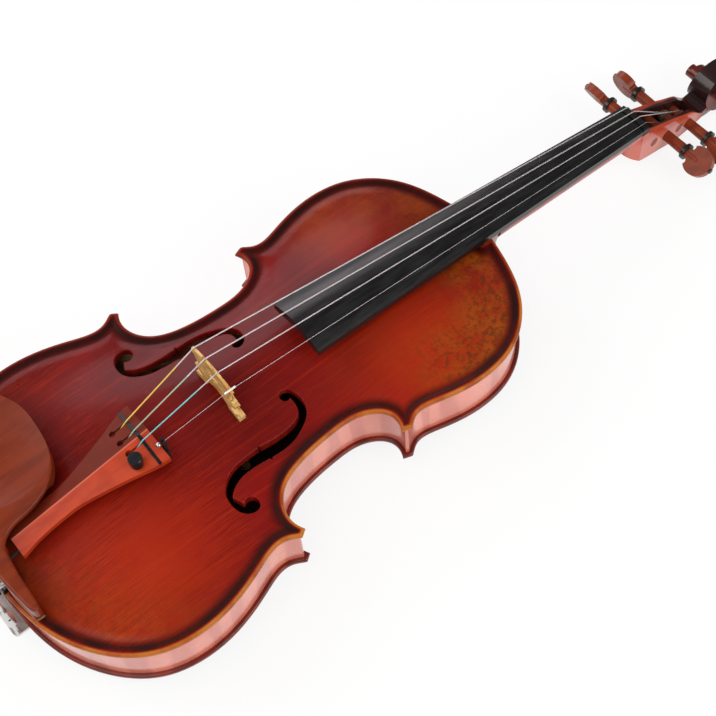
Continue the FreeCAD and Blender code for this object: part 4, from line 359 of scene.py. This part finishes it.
# Materials: small steps that wire shader nodes together
class Finish:
    # One material with its shader and a few ways to add nodes
    waveDetail = 2.0

    def __init__(self, name, **inputs):
        self.material = bpy.data.materials.new(name)
        self.material.use_nodes = True
        self.tree = self.material.node_tree
        self.shader = self.tree.nodes["Principled BSDF"]
        self.place = self.add("ShaderNodeTexCoord").outputs["Object"]
        for key, value in inputs.items():
            self.set(key, value)

    def add(self, kind, **settings):
        node = self.tree.nodes.new(kind)
        for key, value in settings.items():
            setattr(node, key, value)
        return node

    def link(self, value, socket):
        if isinstance(value, bpy.types.NodeSocket):
            self.tree.links.new(value, socket)
        else:
            socket.default_value = value

    def socket(self, key):
        names = {"color": "Base Color", "rough": "Roughness", "metal": "Metallic", "normal": "Normal",
                 "coat": "Coat Weight", "coatRough": "Coat Roughness", "coatIor": "Coat IOR",
                 "specular": "Specular IOR Level"}
        return self.shader.inputs[names[key]]

    def set(self, key, value):
        self.link(value, self.socket(key))

    def wired(self, key):
        # What feeds one of the shader's sockets
        return self.socket(key).links[0].from_socket

    def stretched(self, x, y, z, turn=0.0):
        node = self.add("ShaderNodeMapping")
        node.inputs["Scale"].default_value = (x, y, z)
        node.inputs["Rotation"].default_value = (0.0, 0.0, turn)
        self.link(self.place, node.inputs["Vector"])
        return node.outputs["Vector"]

    def noise(self, scale, detail, rough=0.5, vector=None):
        node = self.add("ShaderNodeTexNoise")
        self.link(vector or self.place, node.inputs["Vector"])
        node.inputs["Scale"].default_value = scale
        node.inputs["Detail"].default_value = detail
        node.inputs["Roughness"].default_value = rough
        return node.outputs["Fac"]

    def fibre(self, detail, stretch):
        # Noise drawn out along the wood
        return self.noise(1.0, detail, vector=self.stretched(*stretch))

    def wave(self, scale, vector=None, warp=0.0, warpScale=1.0, direction="X"):
        node = self.add("ShaderNodeTexWave", wave_type="BANDS", bands_direction=direction)
        self.link(vector or self.place, node.inputs["Vector"])
        node.inputs["Scale"].default_value = scale
        node.inputs["Distortion"].default_value = warp
        node.inputs["Detail"].default_value = self.waveDetail
        node.inputs["Detail Scale"].default_value = warpScale
        return node.outputs["Fac"]

    def ramp(self, value, stops):
        node = self.add("ShaderNodeValToRGB")
        ramp = node.color_ramp
        ramp.interpolation = "EASE"
        while len(ramp.elements) < len(stops):
            ramp.elements.new(0.5)
        for element, (place, color) in zip(ramp.elements, stops):
            element.position = place
            element.color = color + (1.0,)
        self.link(value, node.inputs["Fac"])
        return node.outputs["Color"]

    def mix(self, amount, a, b):
        node = self.add("ShaderNodeMix", data_type="RGBA")
        self.link(amount, node.inputs[0])
        for value, socket in ((a, node.inputs[6]), (b, node.inputs[7])):
            self.link(value + (1.0,) if isinstance(value, tuple) else value, socket)
        return node.outputs[2]

    def math(self, how, a, b=0.0):
        node = self.add("ShaderNodeMath", operation=how)
        self.link(a, node.inputs[0])
        self.link(b, node.inputs[1])
        return node.outputs[0]

    def times(self, first, *others):
        for other in others:
            first = self.math("MULTIPLY", first, other)
        return first

    def cover(self, color, tone, *amounts):
        # A tone over a colour, as far as all the amounts together let it
        return self.mix(self.times(*amounts), color, tone)

    def span(self, value, low, high, first=0.0, last=1.0):
        node = self.add("ShaderNodeMapRange", interpolation_type="SMOOTHSTEP")
        self.link(value, node.inputs["Value"])
        for key, number in (("From Min", low), ("From Max", high), ("To Min", first), ("To Max", last)):
            node.inputs[key].default_value = number
        return node.outputs["Result"]

    def axis(self, which):
        node = self.add("ShaderNodeSeparateXYZ")
        self.link(self.place, node.inputs[0])
        return node.outputs[which]

    def across(self, *limits):
        # Span from bass to treble
        return self.span(self.axis(0), *limits)

    def along(self, low, high, *levels):
        # Span by the distance from the body's tail edge
        return self.span(self.axis(1), tailY + low, tailY + high, *levels)

    def glow(self, x, y, reach, stretch):
        # 1 at a place over the body, falling to 0 at its reach
        shift = self.add("ShaderNodeVectorMath", operation="SUBTRACT")
        self.link(self.place, shift.inputs[0])
        shift.inputs[1].default_value = (x, y + tailY, 0.0)
        size = self.add("ShaderNodeVectorMath", operation="MULTIPLY")
        self.link(shift.outputs[0], size.inputs[0])
        size.inputs[1].default_value = (stretch[0], stretch[1], 0.0)
        far = self.add("ShaderNodeVectorMath", operation="LENGTH")
        self.link(size.outputs[0], far.inputs[0])
        return self.span(far.outputs["Value"], 0.0, reach, 1.0, 0.0)

    def tone(self, name):
        return self.add("ShaderNodeAttribute", attribute_name=name).outputs["Fac"]

    def bump(self, height, distance, strength):
        node = self.add("ShaderNodeBump")
        node.inputs["Strength"].default_value = strength
        node.inputs["Distance"].default_value = distance
        self.link(height, node.inputs["Height"])
        self.set("normal", node.outputs["Normal"])


def dress(finish, *pieces):
    for piece in pieces:
        piece.data.materials.clear()
        piece.data.materials.append(finish.material)


# In the looks below a span is (from, to) or (from, to, value there, value there), a noise is
# (scale, detail) or (scale, detail, roughness), and a bump is (depth, strength).

varnishTones = {
    "red": (0.225, 0.0065, 0.005), "deep": (0.105, 0.004, 0.004), "fire": (0.46, 0.030, 0.003),
    "amber": (0.31, 0.062, 0.005), "umber": (0.09, 0.022, 0.006), "edge": (0.020, 0.004, 0.003),
    "bead": (0.50, 0.16, 0.020), "inlay": (0.006, 0.004, 0.004),
}

bellyLook = {
    "coat": 0.12, "coatRough": 0.12, "specular": 0.10, "rough": (0.3, 0.7, 0.26, 0.36),
    "cloud": (14.0, 4.0), "cloudSpan": (0.35, 0.68), "fine": (60.0, 3.0),
    # Soft patches: place over the body, reach, stretch, amount and tone. The deep ones are painted shade
    # around the bridge and the tailpiece and on the lower bass bout, and darken the upper bout's middle under
    # the fingerboard; the fire ones are varnish colour
    "shadeAndFirePatches": (
        (-0.01, 0.17, 0.095, (1.0, 0.8), 0.75, "deep"), (-0.06, 0.07, 0.075, (1.0, 1.0), 0.55, "deep"),
        (0.0, 0.30, 0.060, (1.0, 1.0), 0.45, "deep"), (0.045, 0.275, 0.070, (1.0, 0.8), 0.62, "fire"),
        (0.060, 0.060, 0.085, (1.0, 1.0), 0.60, "fire"), (-0.05, 0.29, 0.050, (1.0, 1.0), 0.35, "fire"),
    ),
    # Grain lines: dark winter wood and lighter wood between, stronger near the tail
    "grainScale": 250.0, "grainStretch": (1.0, 0.05, 0.0), "grainWarp": 5.0, "grainWarpScale": 4.0,
    "grainAlong": (0.17, 0.10, 0.45, 1.0), "grainPatch": (22.0, 3.0),
    "grainPatchSpan": (0.35, 0.62, 0.25, 1.0), "grainDark": (0.55, 0.95), "grainDarkAmount": 0.55,
    "grainLight": (0.30, 0.05), "grainLightAmount": 0.35, "bump": (0.00003, 0.5),
    "streakDetail": 4.0, "streakStretch": (420.0, 9.0, 30.0), "streakSpan": (0.5, 0.75), "streakAmount": 0.22,
    # Mottled amber along the edges of the bouts, by the distance from the edge
    "mottleFrom": (0.005, 0.010), "mottleTo": (0.018, 0.056, 1.0, 0.0), "upperBout": (0.24, 0.29),
    "lowerBout": (0.10, 0.03, 0.0, 0.35), "bassToTreble": (-0.04, 0.03, 0.45, 1.0),
    "patch": (42.0, 6.0, 0.70), "patchSpan": (0.32, 0.60), "patchAmount": 0.88,
    "speck": (330.0, 4.0, 0.65), "speckSpan": (0.46, 0.62), "speckAmount": 0.7,
    # Dark band, inlaid lines and worn bead at the edge
    "darkFrom": (0.0018, 0.0030), "darkTo": (0.0046, 0.0110, 1.0, 0.0), "darkAmount": (0.2, 0.7, 0.72, 0.98),
    "inlays": (0.0041, 0.0051), "inlayRise": 0.0002, "inlayLevel": 0.0001, "inlayFall": 0.0003,
    "inlayAmount": 0.85, "beadTo": (0.0010, 0.0022, 1.0, 0.0), "beadWear": (0.3, 0.62, 0.35, 1.0),
    "beadAcross": (-0.03, 0.05, 0.15, 0.95),
}


def bellyFinish():
    look = bellyLook
    tones = varnishTones
    made = Finish("bellyVarnish", coat=look["coat"], coatRough=look["coatRough"], specular=look["specular"])
    fine = made.noise(*look["fine"])
    color = made.mix(made.span(made.noise(*look["cloud"]), *look["cloudSpan"]), tones["deep"], tones["red"])
    # Deep patches paint shade onto the varnish; fire patches are the varnish's own colour
    for x, y, reach, stretch, amount, tone in look["shadeAndFirePatches"]:
        color = made.cover(color, tones[tone], made.glow(x, y, reach, stretch), amount)
    grain = made.wave(look["grainScale"], made.stretched(*look["grainStretch"]), look["grainWarp"],
                      look["grainWarpScale"])
    shown = made.times(made.along(*look["grainAlong"]),
                       made.span(made.noise(*look["grainPatch"]), *look["grainPatchSpan"]))
    for name, tone in (("grainDark", "deep"), ("grainLight", "fire")):
        color = made.cover(color, tones[tone], made.span(grain, *look[name]), shown, look[name + "Amount"])
    streak = made.fibre(look["streakDetail"], look["streakStretch"])
    color = made.cover(color, tones["fire"], made.span(streak, *look["streakSpan"]), look["streakAmount"])
    away = made.tone("edgeAway")
    bouts = made.times(made.math("MAXIMUM", made.along(*look["upperBout"]), made.along(*look["lowerBout"])),
                       made.across(*look["bassToTreble"]))
    band = made.times(made.span(away, *look["mottleFrom"]), made.span(away, *look["mottleTo"]), bouts)
    for name, tone in (("patch", "amber"), ("speck", "umber")):
        mottle = made.span(made.noise(*look[name]), *look[name + "Span"])
        color = made.cover(color, tones[tone], mottle, band, look[name + "Amount"])
    color = made.cover(color, tones["edge"], made.span(away, *look["darkFrom"]),
                       made.span(away, *look["darkTo"]), made.span(fine, *look["darkAmount"]))
    for inset in look["inlays"]:
        rise = made.span(away, inset - look["inlayRise"], inset)
        fall = made.span(away, inset + look["inlayLevel"], inset + look["inlayFall"], 1.0, 0.0)
        color = made.cover(color, tones["inlay"], rise, fall, look["inlayAmount"])
    color = made.cover(color, tones["bead"], made.span(away, *look["beadTo"]),
                       made.span(fine, *look["beadWear"]), made.across(*look["beadAcross"]))
    made.set("color", color)
    made.set("rough", made.span(fine, *look["rough"]))
    made.bump(grain, *look["bump"])
    return made


# Flamed maple under varnish
mapleLook = {
    "coat": 0.35, "coatRough": 0.12, "coatIor": 1.5, "specular": 0.3, "rough": (0.3, 0.7, 0.24, 0.36),
    "bandScale": 16.0, "bandStretch": (0.75, 1.0, 0.25), "bandTurn": 0.4, "bandWarp": 7.0,
    "bandWarpScale": 1.6, "bandSpan": (0.25, 0.85), "bandAmount": 0.5,
    "cloud": (30.0, 3.0), "cloudSpan": (0.35, 0.75, 0.0, 0.4),
    "fibreDetail": 4.0, "fibreStretch": (240.0, 40.0, 500.0), "fibreSpan": (0.5, 0.8), "fibreAmount": 0.25,
    "bump": (0.00004, 0.35),
}
# Ribs: red varnish lightened to pale pink, a painted reflection of the white surroundings
ribSheenLook = {"base": (0.80, 0.25, 0.17), "shade": (0.50, 0.09, 0.055), "coatIor": 1.7, "coat": 0.7}


def mapleFinish(name, base, shade, **changes):
    look = {**mapleLook, **changes}
    made = Finish(name, **{key: look[key] for key in ("coat", "coatRough", "coatIor", "specular")})
    cloud = made.noise(*look["cloud"])
    bands = made.wave(look["bandScale"], made.stretched(*look["bandStretch"], turn=look["bandTurn"]),
                      look["bandWarp"], look["bandWarpScale"], "Y")
    color = made.cover(base, shade, made.span(bands, *look["bandSpan"]), look["bandAmount"])
    color = made.cover(color, shade, made.span(cloud, *look["cloudSpan"]))
    fibre = made.fibre(look["fibreDetail"], look["fibreStretch"])
    color = made.cover(color, shade, made.span(fibre, *look["fibreSpan"]), look["fibreAmount"])
    made.set("color", color)
    made.set("rough", made.span(cloud, *look["rough"]))
    made.bump(fibre, *look["bump"])
    return made


# Back: varnished outside; bare wood within, coloured near black as painted shade inside the body
backLook = {
    "base": (0.20, 0.018, 0.008), "shade": (0.08, 0.009, 0.005), "bareWoodInShade": (0.030, 0.014, 0.008),
    "facingUp": (0.1, 0.4), "insideEdge": (0.003, 0.0037),
}


def backFinish():
    look = backLook
    made = mapleFinish("backVarnish", look["base"], look["shade"])
    turned = made.add("ShaderNodeSeparateXYZ")
    made.link(made.add("ShaderNodeTexCoord").outputs["Normal"], turned.inputs[0])
    within = made.times(made.span(turned.outputs[2], *look["facingUp"]),
                        made.span(made.tone("edgeAway"), *look["insideEdge"]))
    # Painted shade: the inner side takes a near-black colour for the dark inside of the body
    made.set("color", made.mix(within, made.wired("color"), look["bareWoodInShade"]))
    for key in ("coat", "specular"):
        made.set(key, made.math("SUBTRACT", mapleLook[key], made.times(within, mapleLook[key])))
    return made


# Neck and head: painted shade in the peg cavity, darker on the scroll, and painted light on the treble cheek
# with a painted pink reflection low on it. Places are distances from the tail edge, and heights are over a
# line that falls by slope from the nut.
headLook = {
    "base": (0.36, 0.036, 0.014), "shade": (0.14, 0.014, 0.007), "nut": 0.4865, "slope": 0.2991,
    "hollowHalf": (0.0080, 0.0086, 1.0, 0.0), "hollowHeight": (0.0165, 0.0175),
    "hollowAlong": (0.4920, 0.4925), "scrollAlong": (0.5425, 0.5585), "cheekSide": (0.0046, 0.0080),
    "cheekFrom": (0.4685, 0.4805), "cheekTo": (0.5525, 0.5405), "cheekLow": (0.026, 0.036, 1.0, 0.0),
    "layers": (("cheek", 0.55, (0.60, 0.065, 0.018)), ("pinkSheen", 0.8, (0.66, 0.19, 0.14)),
               ("scroll", 0.85, (0.085, 0.010, 0.007)), ("hollowShade", 0.93, (0.012, 0.006, 0.006))),
}


def headFinish():
    look = headLook
    made = mapleFinish("neckVarnish", look["base"], look["shade"])
    fallen = made.times(made.math("SUBTRACT", made.axis(1), tailY + look["nut"]), look["slope"])
    height = made.math("ADD", made.axis(2), fallen)
    cheek = made.times(made.across(*look["cheekSide"]), made.along(*look["cheekFrom"]),
                       made.along(*look["cheekTo"]))
    # Painted light on the treble cheek, painted pink reflection low on it, darker scroll, painted shade in
    # the peg cavity
    masks = {
        "cheek": cheek,
        "pinkSheen": made.times(cheek, made.span(height, *look["cheekLow"])),
        "scroll": made.along(*look["scrollAlong"]),
        "hollowShade": made.times(made.span(made.math("ABSOLUTE", made.axis(0)), *look["hollowHalf"]),
                             made.span(height, *look["hollowHeight"]), made.along(*look["hollowAlong"])),
    }
    color = made.wired("color")
    for mask, amount, tone in look["layers"]:
        color = made.cover(color, tone, masks[mask], amount)
    made.set("color", color)
    return made


ebonyLook = {
    "specular": 0.5, "coat": 0.15, "coatRough": 0.25, "rough": (0.3, 0.8, 0.28, 0.44),
    "fibreDetail": 5.0, "fibreStretch": (380.0, 10.0, 380.0),
    "stops": ((0.3, (0.003, 0.003, 0.003)), (0.62, (0.009, 0.010, 0.010)), (0.8, (0.028, 0.032, 0.030))),
    "bump": (0.00003, 0.4),
}


def ebonyFinish():
    look = ebonyLook
    made = Finish("ebony", specular=look["specular"], coat=look["coat"], coatRough=look["coatRough"])
    fibre = made.fibre(look["fibreDetail"], look["fibreStretch"])
    made.set("color", made.ramp(fibre, look["stops"]))
    made.set("rough", made.span(fibre, *look["rough"]))
    made.bump(fibre, *look["bump"])
    return made


# Close-grained turned or carved wood: base and dark tone of each, and how rough it is
woodTones = {
    "dyedBoxwood": ((0.40, 0.038, 0.014), (0.22, 0.018, 0.009), 0.34),
    "tailpieceBoxwood": ((0.50, 0.048, 0.010), (0.30, 0.020, 0.006), 0.34),
    "restBoxwood": ((0.205, 0.029, 0.008), (0.11, 0.012, 0.004), 0.34),
    "pegWood": ((0.235, 0.038, 0.012), (0.10, 0.012, 0.005), 0.34),
    "rawSpruce": ((0.60, 0.40, 0.20), (0.42, 0.25, 0.11), 0.6),
    "blackPlate": ((0.012, 0.012, 0.014), (0.03, 0.03, 0.032), 0.28),
}
turnedLook = {
    "coat": 0.10, "coatRough": 0.22, "specular": 0.2, "roughSpan": (0.3, 0.7), "smoother": 0.06,
    "rougher": 0.08, "fibreDetail": 4.0, "fibreStretch": (220.0, 22.0, 220.0),
    "fibreSpan": (0.42, 0.72, 0.0, 0.55), "cloud": (55.0, 3.0), "cloudSpan": (0.45, 0.75, 0.0, 0.4),
    "bump": (0.00004, 0.4),
}


def turnedFinish(name):
    look = turnedLook
    base, dark, rough = woodTones[name]
    made = Finish(name, coat=look["coat"], coatRough=look["coatRough"], specular=look["specular"])
    fibre = made.fibre(look["fibreDetail"], look["fibreStretch"])
    cloud = made.noise(*look["cloud"])
    color = made.cover(base, dark, made.span(fibre, *look["fibreSpan"]))
    made.set("color", made.cover(color, dark, made.span(cloud, *look["cloudSpan"])))
    made.set("rough", made.span(cloud, *look["roughSpan"], rough - look["smoother"], rough + look["rougher"]))
    made.bump(fibre, *look["bump"])
    return made


# Tailpiece: the bass facet painted in shade and the treble facet lit, a painted highlight along the ridge
# where they meet, and a pale band at the fret
tailpieceLook = {
    "facets": (-0.0005, 0.0005), "shade": (0.060, 0.008, 0.005), "shadeAmount": 0.78,
    "ridge": (0.0002, 0.0007, 0.45, 0.0), "lip": (0.1128, 0.1136, 0.0, 0.45), "paleRidgeAndLip": (0.80, 0.24, 0.15),
}


def tailpieceFinish():
    look = tailpieceLook
    made = turnedFinish("tailpieceBoxwood")
    bright = made.wired("color")
    # Painted shade: the bass facet is a darkened copy of the lit facet's colour
    dim = made.mix(look["shadeAmount"], bright, look["shade"])
    color = made.mix(made.across(*look["facets"]), dim, bright)
    # Painted highlight along the ridge; the same pale tone makes the band at the fret
    ridge = made.span(made.math("ABSOLUTE", made.axis(0)), *look["ridge"])
    made.set("color", made.mix(made.math("MAXIMUM", ridge, made.along(*look["lip"])), color, look["paleRidgeAndLip"]))
    return made


bridgeLook = {
    "rough": 0.5, "specular": 0.35, "base": (0.58, 0.29, 0.07), "pale": (0.76, 0.50, 0.19),
    "cloud": (90.0, 3.0), "cloudSpan": (0.3, 0.7), "fleckDetail": 4.0, "fleckStretch": (170.0, 500.0, 620.0),
    "fleckSpan": (0.55, 0.68, 0.0, 0.85), "fleck": (0.24, 0.08, 0.02), "bump": (0.00005, 0.4),
}


def bridgeFinish():
    look = bridgeLook
    made = Finish("bridgeMaple", rough=look["rough"], specular=look["specular"])
    flecks = made.fibre(look["fleckDetail"], look["fleckStretch"])
    color = made.mix(made.span(made.noise(*look["cloud"]), *look["cloudSpan"]), look["base"], look["pale"])
    made.set("color", made.cover(color, look["fleck"], made.span(flecks, *look["fleckSpan"])))
    made.bump(flecks, *look["bump"])
    return made


def shaded(tone, share):
    return tuple(part * share for part in tone)


metalLook = {
    "tone": (0.68, 0.67, 0.65), "wornShare": 0.55, "wear": (260.0, 3.0), "wearSpan": (0.3, 0.8, 0.0, 0.10),
    "rough": (0.3, 0.7, 0.30, 0.35),
}


def metalFinish():
    look = metalLook
    made = Finish("nickel", metal=1.0)
    wear = made.noise(*look["wear"])
    made.set("color", made.cover(look["tone"], shaded(look["tone"], look["wornShare"]),
                                 made.span(wear, *look["wearSpan"])))
    made.set("rough", made.span(wear, *look["rough"]))
    return made


# Strings: bare wound metal, with coloured thread round the tail end and round the coils on the pegs
stringLook = {
    "rough": 0.35, "metal": 0.75, "turns": 1400.0, "dark": (0.50, 0.46, 0.47), "pale": (0.78, 0.72, 0.73),
    "threads": 500.0, "threadShare": 0.6, "silkEnd": (0.1462, 0.1458), "bump": (0.00003, 0.3),
    "coilRough": 0.5, "coilTurns": 900.0, "coilShare": 0.5,
    "silks": {"g": (0.95, 0.66, 0.12), "d": (0.46, 0.56, 0.40), "a": (0.20, 0.70, 0.74), "e": None},
    "coils": {"g": (0.20, 0.16, 0.10), "d": (0.12, 0.20, 0.16), "a": (0.22, 0.13, 0.30),
              "e": (0.5, 0.5, 0.52)},
}


def stringFinish(name):
    look = stringLook
    silk = look["silks"][name]
    made = Finish("stringMetal" + name.upper(), rough=look["rough"], metal=look["metal"])
    turns = made.wave(look["turns"], direction="Y")
    color = made.mix(turns, look["dark"], look["pale"])
    if silk:
        thread = made.mix(made.wave(look["threads"], direction="Y"), silk, shaded(silk, look["threadShare"]))
        wrapped = made.along(*look["silkEnd"])
        color = made.mix(wrapped, color, thread)
        made.set("metal", made.span(wrapped, 0.0, 1.0, look["metal"], 0.0))
    made.set("color", color)
    made.bump(turns, *look["bump"])
    return made


def coilFinish(name):
    look = stringLook
    shade = look["coils"][name]
    made = Finish("coil" + name.upper(), rough=look["coilRough"])
    made.set("color", made.mix(made.wave(look["coilTurns"]), shade, shaded(shade, look["coilShare"])))
    return made


# Speckled finishes: cork and the tail cord
grainyLooks = {
    "cork": {"rough": 0.85, "specular": 0.2, "grain": (900.0, 2.0), "bump": (0.0001, 0.5),
             "stops": ((0.35, (0.16, 0.09, 0.05)), (0.6, (0.42, 0.27, 0.15)))},
    "tailCord": {"rough": 0.42, "specular": 0.5, "grain": (800.0, 2.0), "bump": (0.00003, 0.3),
                 "stops": ((0.3, (0.012, 0.012, 0.012)), (0.7, (0.035, 0.035, 0.036)))},
}


def grainyFinish(name):
    look = grainyLooks[name]
    made = Finish(name, rough=look["rough"], specular=look["specular"])
    grain = made.noise(*look["grain"])
    made.set("color", made.ramp(grain, look["stops"]))
    made.bump(grain, *look["bump"])
    return made


def dressAll():
    ribNames = [bout + "_rib_" + side for bout in ("upper", "waist", "lower") for side in ("bass", "treble")]
    dress(bellyFinish(), belly)
    dress(backFinish(), back)
    dress(mapleFinish("ribVarnishPaintedSheen", **ribSheenLook), *[nodes[name] for name in ribNames])
    dress(headFinish(), nodes["neck"])
    dress(ebonyFinish(), *[nodes[name] for name in nodes if name.startswith("peg_trim")],
          nodes["fingerboard"], nodes["nut"], nodes["saddle"], nodes["tailpiece_fret"])
    dress(turnedFinish("dyedBoxwood"), nodes["end_button"])
    dress(tailpieceFinish(), nodes["tailpiece"])
    dress(turnedFinish("restBoxwood"), nodes["chinrest"])
    dress(turnedFinish("pegWood"), *[nodes["peg_" + name] for name in "gdae"])
    dress(bridgeFinish(), nodes["bridge"])
    dress(turnedFinish("rawSpruce"),
          *[nodes[name] for name in ("bass_bar", "soundpost", "neck_block", "end_block", "corner_blocks",
                                     "top_linings", "back_linings")])
    for name in "gdae":
        dress(stringFinish(name), nodes["string_" + name])
        dress(coilFinish(name), nodes["winding_" + name])
    dress(turnedFinish("blackPlate"), nodes["tuner_frame"], nodes["tuner_ring_nut"], nodes["tuner_knob"],
          nodes["tuner_lever"])
    dress(metalFinish(), nodes["tuner_shank"], nodes["tuner_pivot"], nodes["tuner_ball"],
          nodes["chinrest_rods"], nodes["barrel_bass"], nodes["barrel_treble"], nodes["clamp_foot"])
    dress(grainyFinish("cork"), nodes["chinrest_cork"], nodes["clamp_cork"])
    dress(grainyFinish("tailCord"), nodes["tailgut"])
    print("pieces dressed,", len(bpy.data.materials), "materials in the file")


dressAll()


# Pale sleeve that keeps the thin string out of the bridge
sleeve = {
    "length": 0.0075, "radius": 0.00062, "wall": 0.00016, "sides": 20, "bevel": 0.00008, "bevelSteps": 2,
    "stringReach": 0.012, "smoothAngle": 40, "rough": 0.4, "haze": (700.0, 2.0), "hazeSpan": (0.3, 0.7),
    "base": (0.72, 0.68, 0.64), "pale": (0.90, 0.87, 0.84),
}


def makeSleeve():
    size = sleeve
    bridgeLow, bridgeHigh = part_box("bridge")
    middle = (bridgeLow[1] + bridgeHigh[1]) / 2
    spots = np.array([tuple(vert.co) for vert in nodes["string_e"].data.vertices])
    near = spots[np.abs(spots[:, 1] - middle) < size["stringReach"]]
    rows = []
    for way in (-1, 1):
        side = near[(near[:, 1] - middle) * way >= 0]
        if len(side) > 0:
            rows.append(side.mean(axis=0))
    centre = near.mean(axis=0)
    along = Vector(rows[1] - rows[0]).normalized() if len(rows) == 2 else Vector((0.0, 1.0, 0.0))
    bpy.ops.object.select_all(action="DESELECT")
    bpy.ops.mesh.primitive_cylinder_add(vertices=size["sides"], radius=size["radius"], depth=size["length"],
                                        end_fill_type="NOTHING", location=tuple(centre),
                                        rotation=along.to_track_quat("Z", "Y").to_euler())
    tube = bpy.context.object
    tube.name = "stringSleeve"
    bpy.ops.object.transform_apply(location=True, rotation=True, scale=True)
    for name, kind, settings in (("wall", "SOLIDIFY", {"thickness": size["wall"], "offset": -1.0}),
                                 ("edge", "BEVEL", {"width": size["bevel"], "segments": size["bevelSteps"]})):
        modifier = tube.modifiers.new(name, kind)
        for key, value in settings.items():
            setattr(modifier, key, value)
        bpy.ops.object.modifier_apply(modifier=name)
    bpy.ops.object.shade_smooth_by_angle(angle=math.radians(size["smoothAngle"]))
    made = Finish("sleevePlastic", rough=size["rough"])
    haze = made.span(made.noise(*size["haze"]), *size["hazeSpan"])
    made.set("color", made.mix(haze, size["base"], size["pale"]))
    dress(made, tube)
    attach(tube, "instrument")
    print("sleeve on the thin string at", [round(value, 4) for value in centre])


makeSleeve()


# Floor, world and lamps. The world is dimmer in reflections, so that the varnish keeps its depth.
studio = {
    "floorHalf": 3.0, "floorTone": 0.92, "floorRough": 0.9, "floorGlow": 0.85, "world": 0.42,
    "worldShine": 0.14,
    "lamps": (
        # place, aimed at, width, height, power, colour
        ((-1.05, 0.25, 0.62), (-0.02, 0.0, 0.05), 0.9, 0.55, 4.5, (1.0, 0.88, 0.95)),
        ((-0.95, -1.0, 1.1), (0.0, 0.0, 0.05), 1.0, 1.0, 10.0, (1.0, 0.98, 0.95)),
        ((0.3, -0.9, 1.5), (0.0, 0.0, 0.05), 1.2, 1.2, 9.0, (1.0, 0.98, 0.95)),
        ((1.2, 0.45, 0.9), (0.0, 0.0, 0.05), 1.0, 0.8, 11.0, (1.0, 0.97, 0.94)),
    ),
}


def makeFloor():
    # Shaded by the lamps, and glowing nearly white where the camera or a reflection sees it
    bpy.ops.object.select_all(action="DESELECT")
    bpy.ops.mesh.primitive_plane_add(size=studio["floorHalf"] * 2, location=(0, 0, 0))
    floor = bpy.context.object
    floor.name = "floor"
    finish = bpy.data.materials.new("paleFloor")
    finish.use_nodes = True
    tree = finish.node_tree
    shader = tree.nodes["Principled BSDF"]
    tone = studio["floorTone"]
    shader.inputs["Base Color"].default_value = (tone, tone, tone, 1.0)
    shader.inputs["Roughness"].default_value = studio["floorRough"]
    glow = tree.nodes.new("ShaderNodeEmission")
    path = tree.nodes.new("ShaderNodeLightPath")
    seen = tree.nodes.new("ShaderNodeMath")
    seen.operation = "ADD"
    seen.use_clamp = True
    tree.links.new(path.outputs["Is Camera Ray"], seen.inputs[0])
    tree.links.new(path.outputs["Is Glossy Ray"], seen.inputs[1])
    amount = tree.nodes.new("ShaderNodeMath")
    amount.operation = "MULTIPLY"
    amount.inputs[1].default_value = studio["floorGlow"]
    tree.links.new(seen.outputs[0], amount.inputs[0])
    blend = tree.nodes.new("ShaderNodeMixShader")
    tree.links.new(amount.outputs[0], blend.inputs[0])
    tree.links.new(shader.outputs[0], blend.inputs[1])
    tree.links.new(glow.outputs[0], blend.inputs[2])
    tree.links.new(blend.outputs[0], tree.nodes["Material Output"].inputs["Surface"])
    floor.data.materials.append(finish)


def makeWorld():
    world = bpy.data.worlds.new("studioWorld")
    bpy.context.scene.world = world
    world.use_nodes = True
    tree = world.node_tree
    backdrop = tree.nodes["Background"]
    backdrop.inputs["Color"].default_value = (1.0, 1.0, 1.0, 1.0)
    path = tree.nodes.new("ShaderNodeLightPath")
    dim = tree.nodes.new("ShaderNodeMapRange")
    tree.links.new(path.outputs["Is Glossy Ray"], dim.inputs["Value"])
    dim.inputs["To Min"].default_value = studio["world"]
    dim.inputs["To Max"].default_value = studio["worldShine"]
    white = tree.nodes.new("ShaderNodeMath")
    white.operation = "MAXIMUM"
    tree.links.new(dim.outputs["Result"], white.inputs[0])
    tree.links.new(path.outputs["Is Camera Ray"], white.inputs[1])
    tree.links.new(white.outputs[0], backdrop.inputs["Strength"])


def makeLamps():
    for place, aim, width, height, power, color in studio["lamps"]:
        data = bpy.data.lights.new("softBox", "AREA")
        data.shape = "RECTANGLE"
        data.size = width
        data.size_y = height
        data.energy = power
        data.color = color
        lamp = bpy.data.objects.new("softBox", data)
        bpy.context.scene.collection.objects.link(lamp)
        lamp.location = place
        lamp.rotation_euler = (Vector(aim) - Vector(place)).to_track_quat("-Z", "Y").to_euler()


makeFloor()
makeWorld()
makeLamps()
print("studio ready")
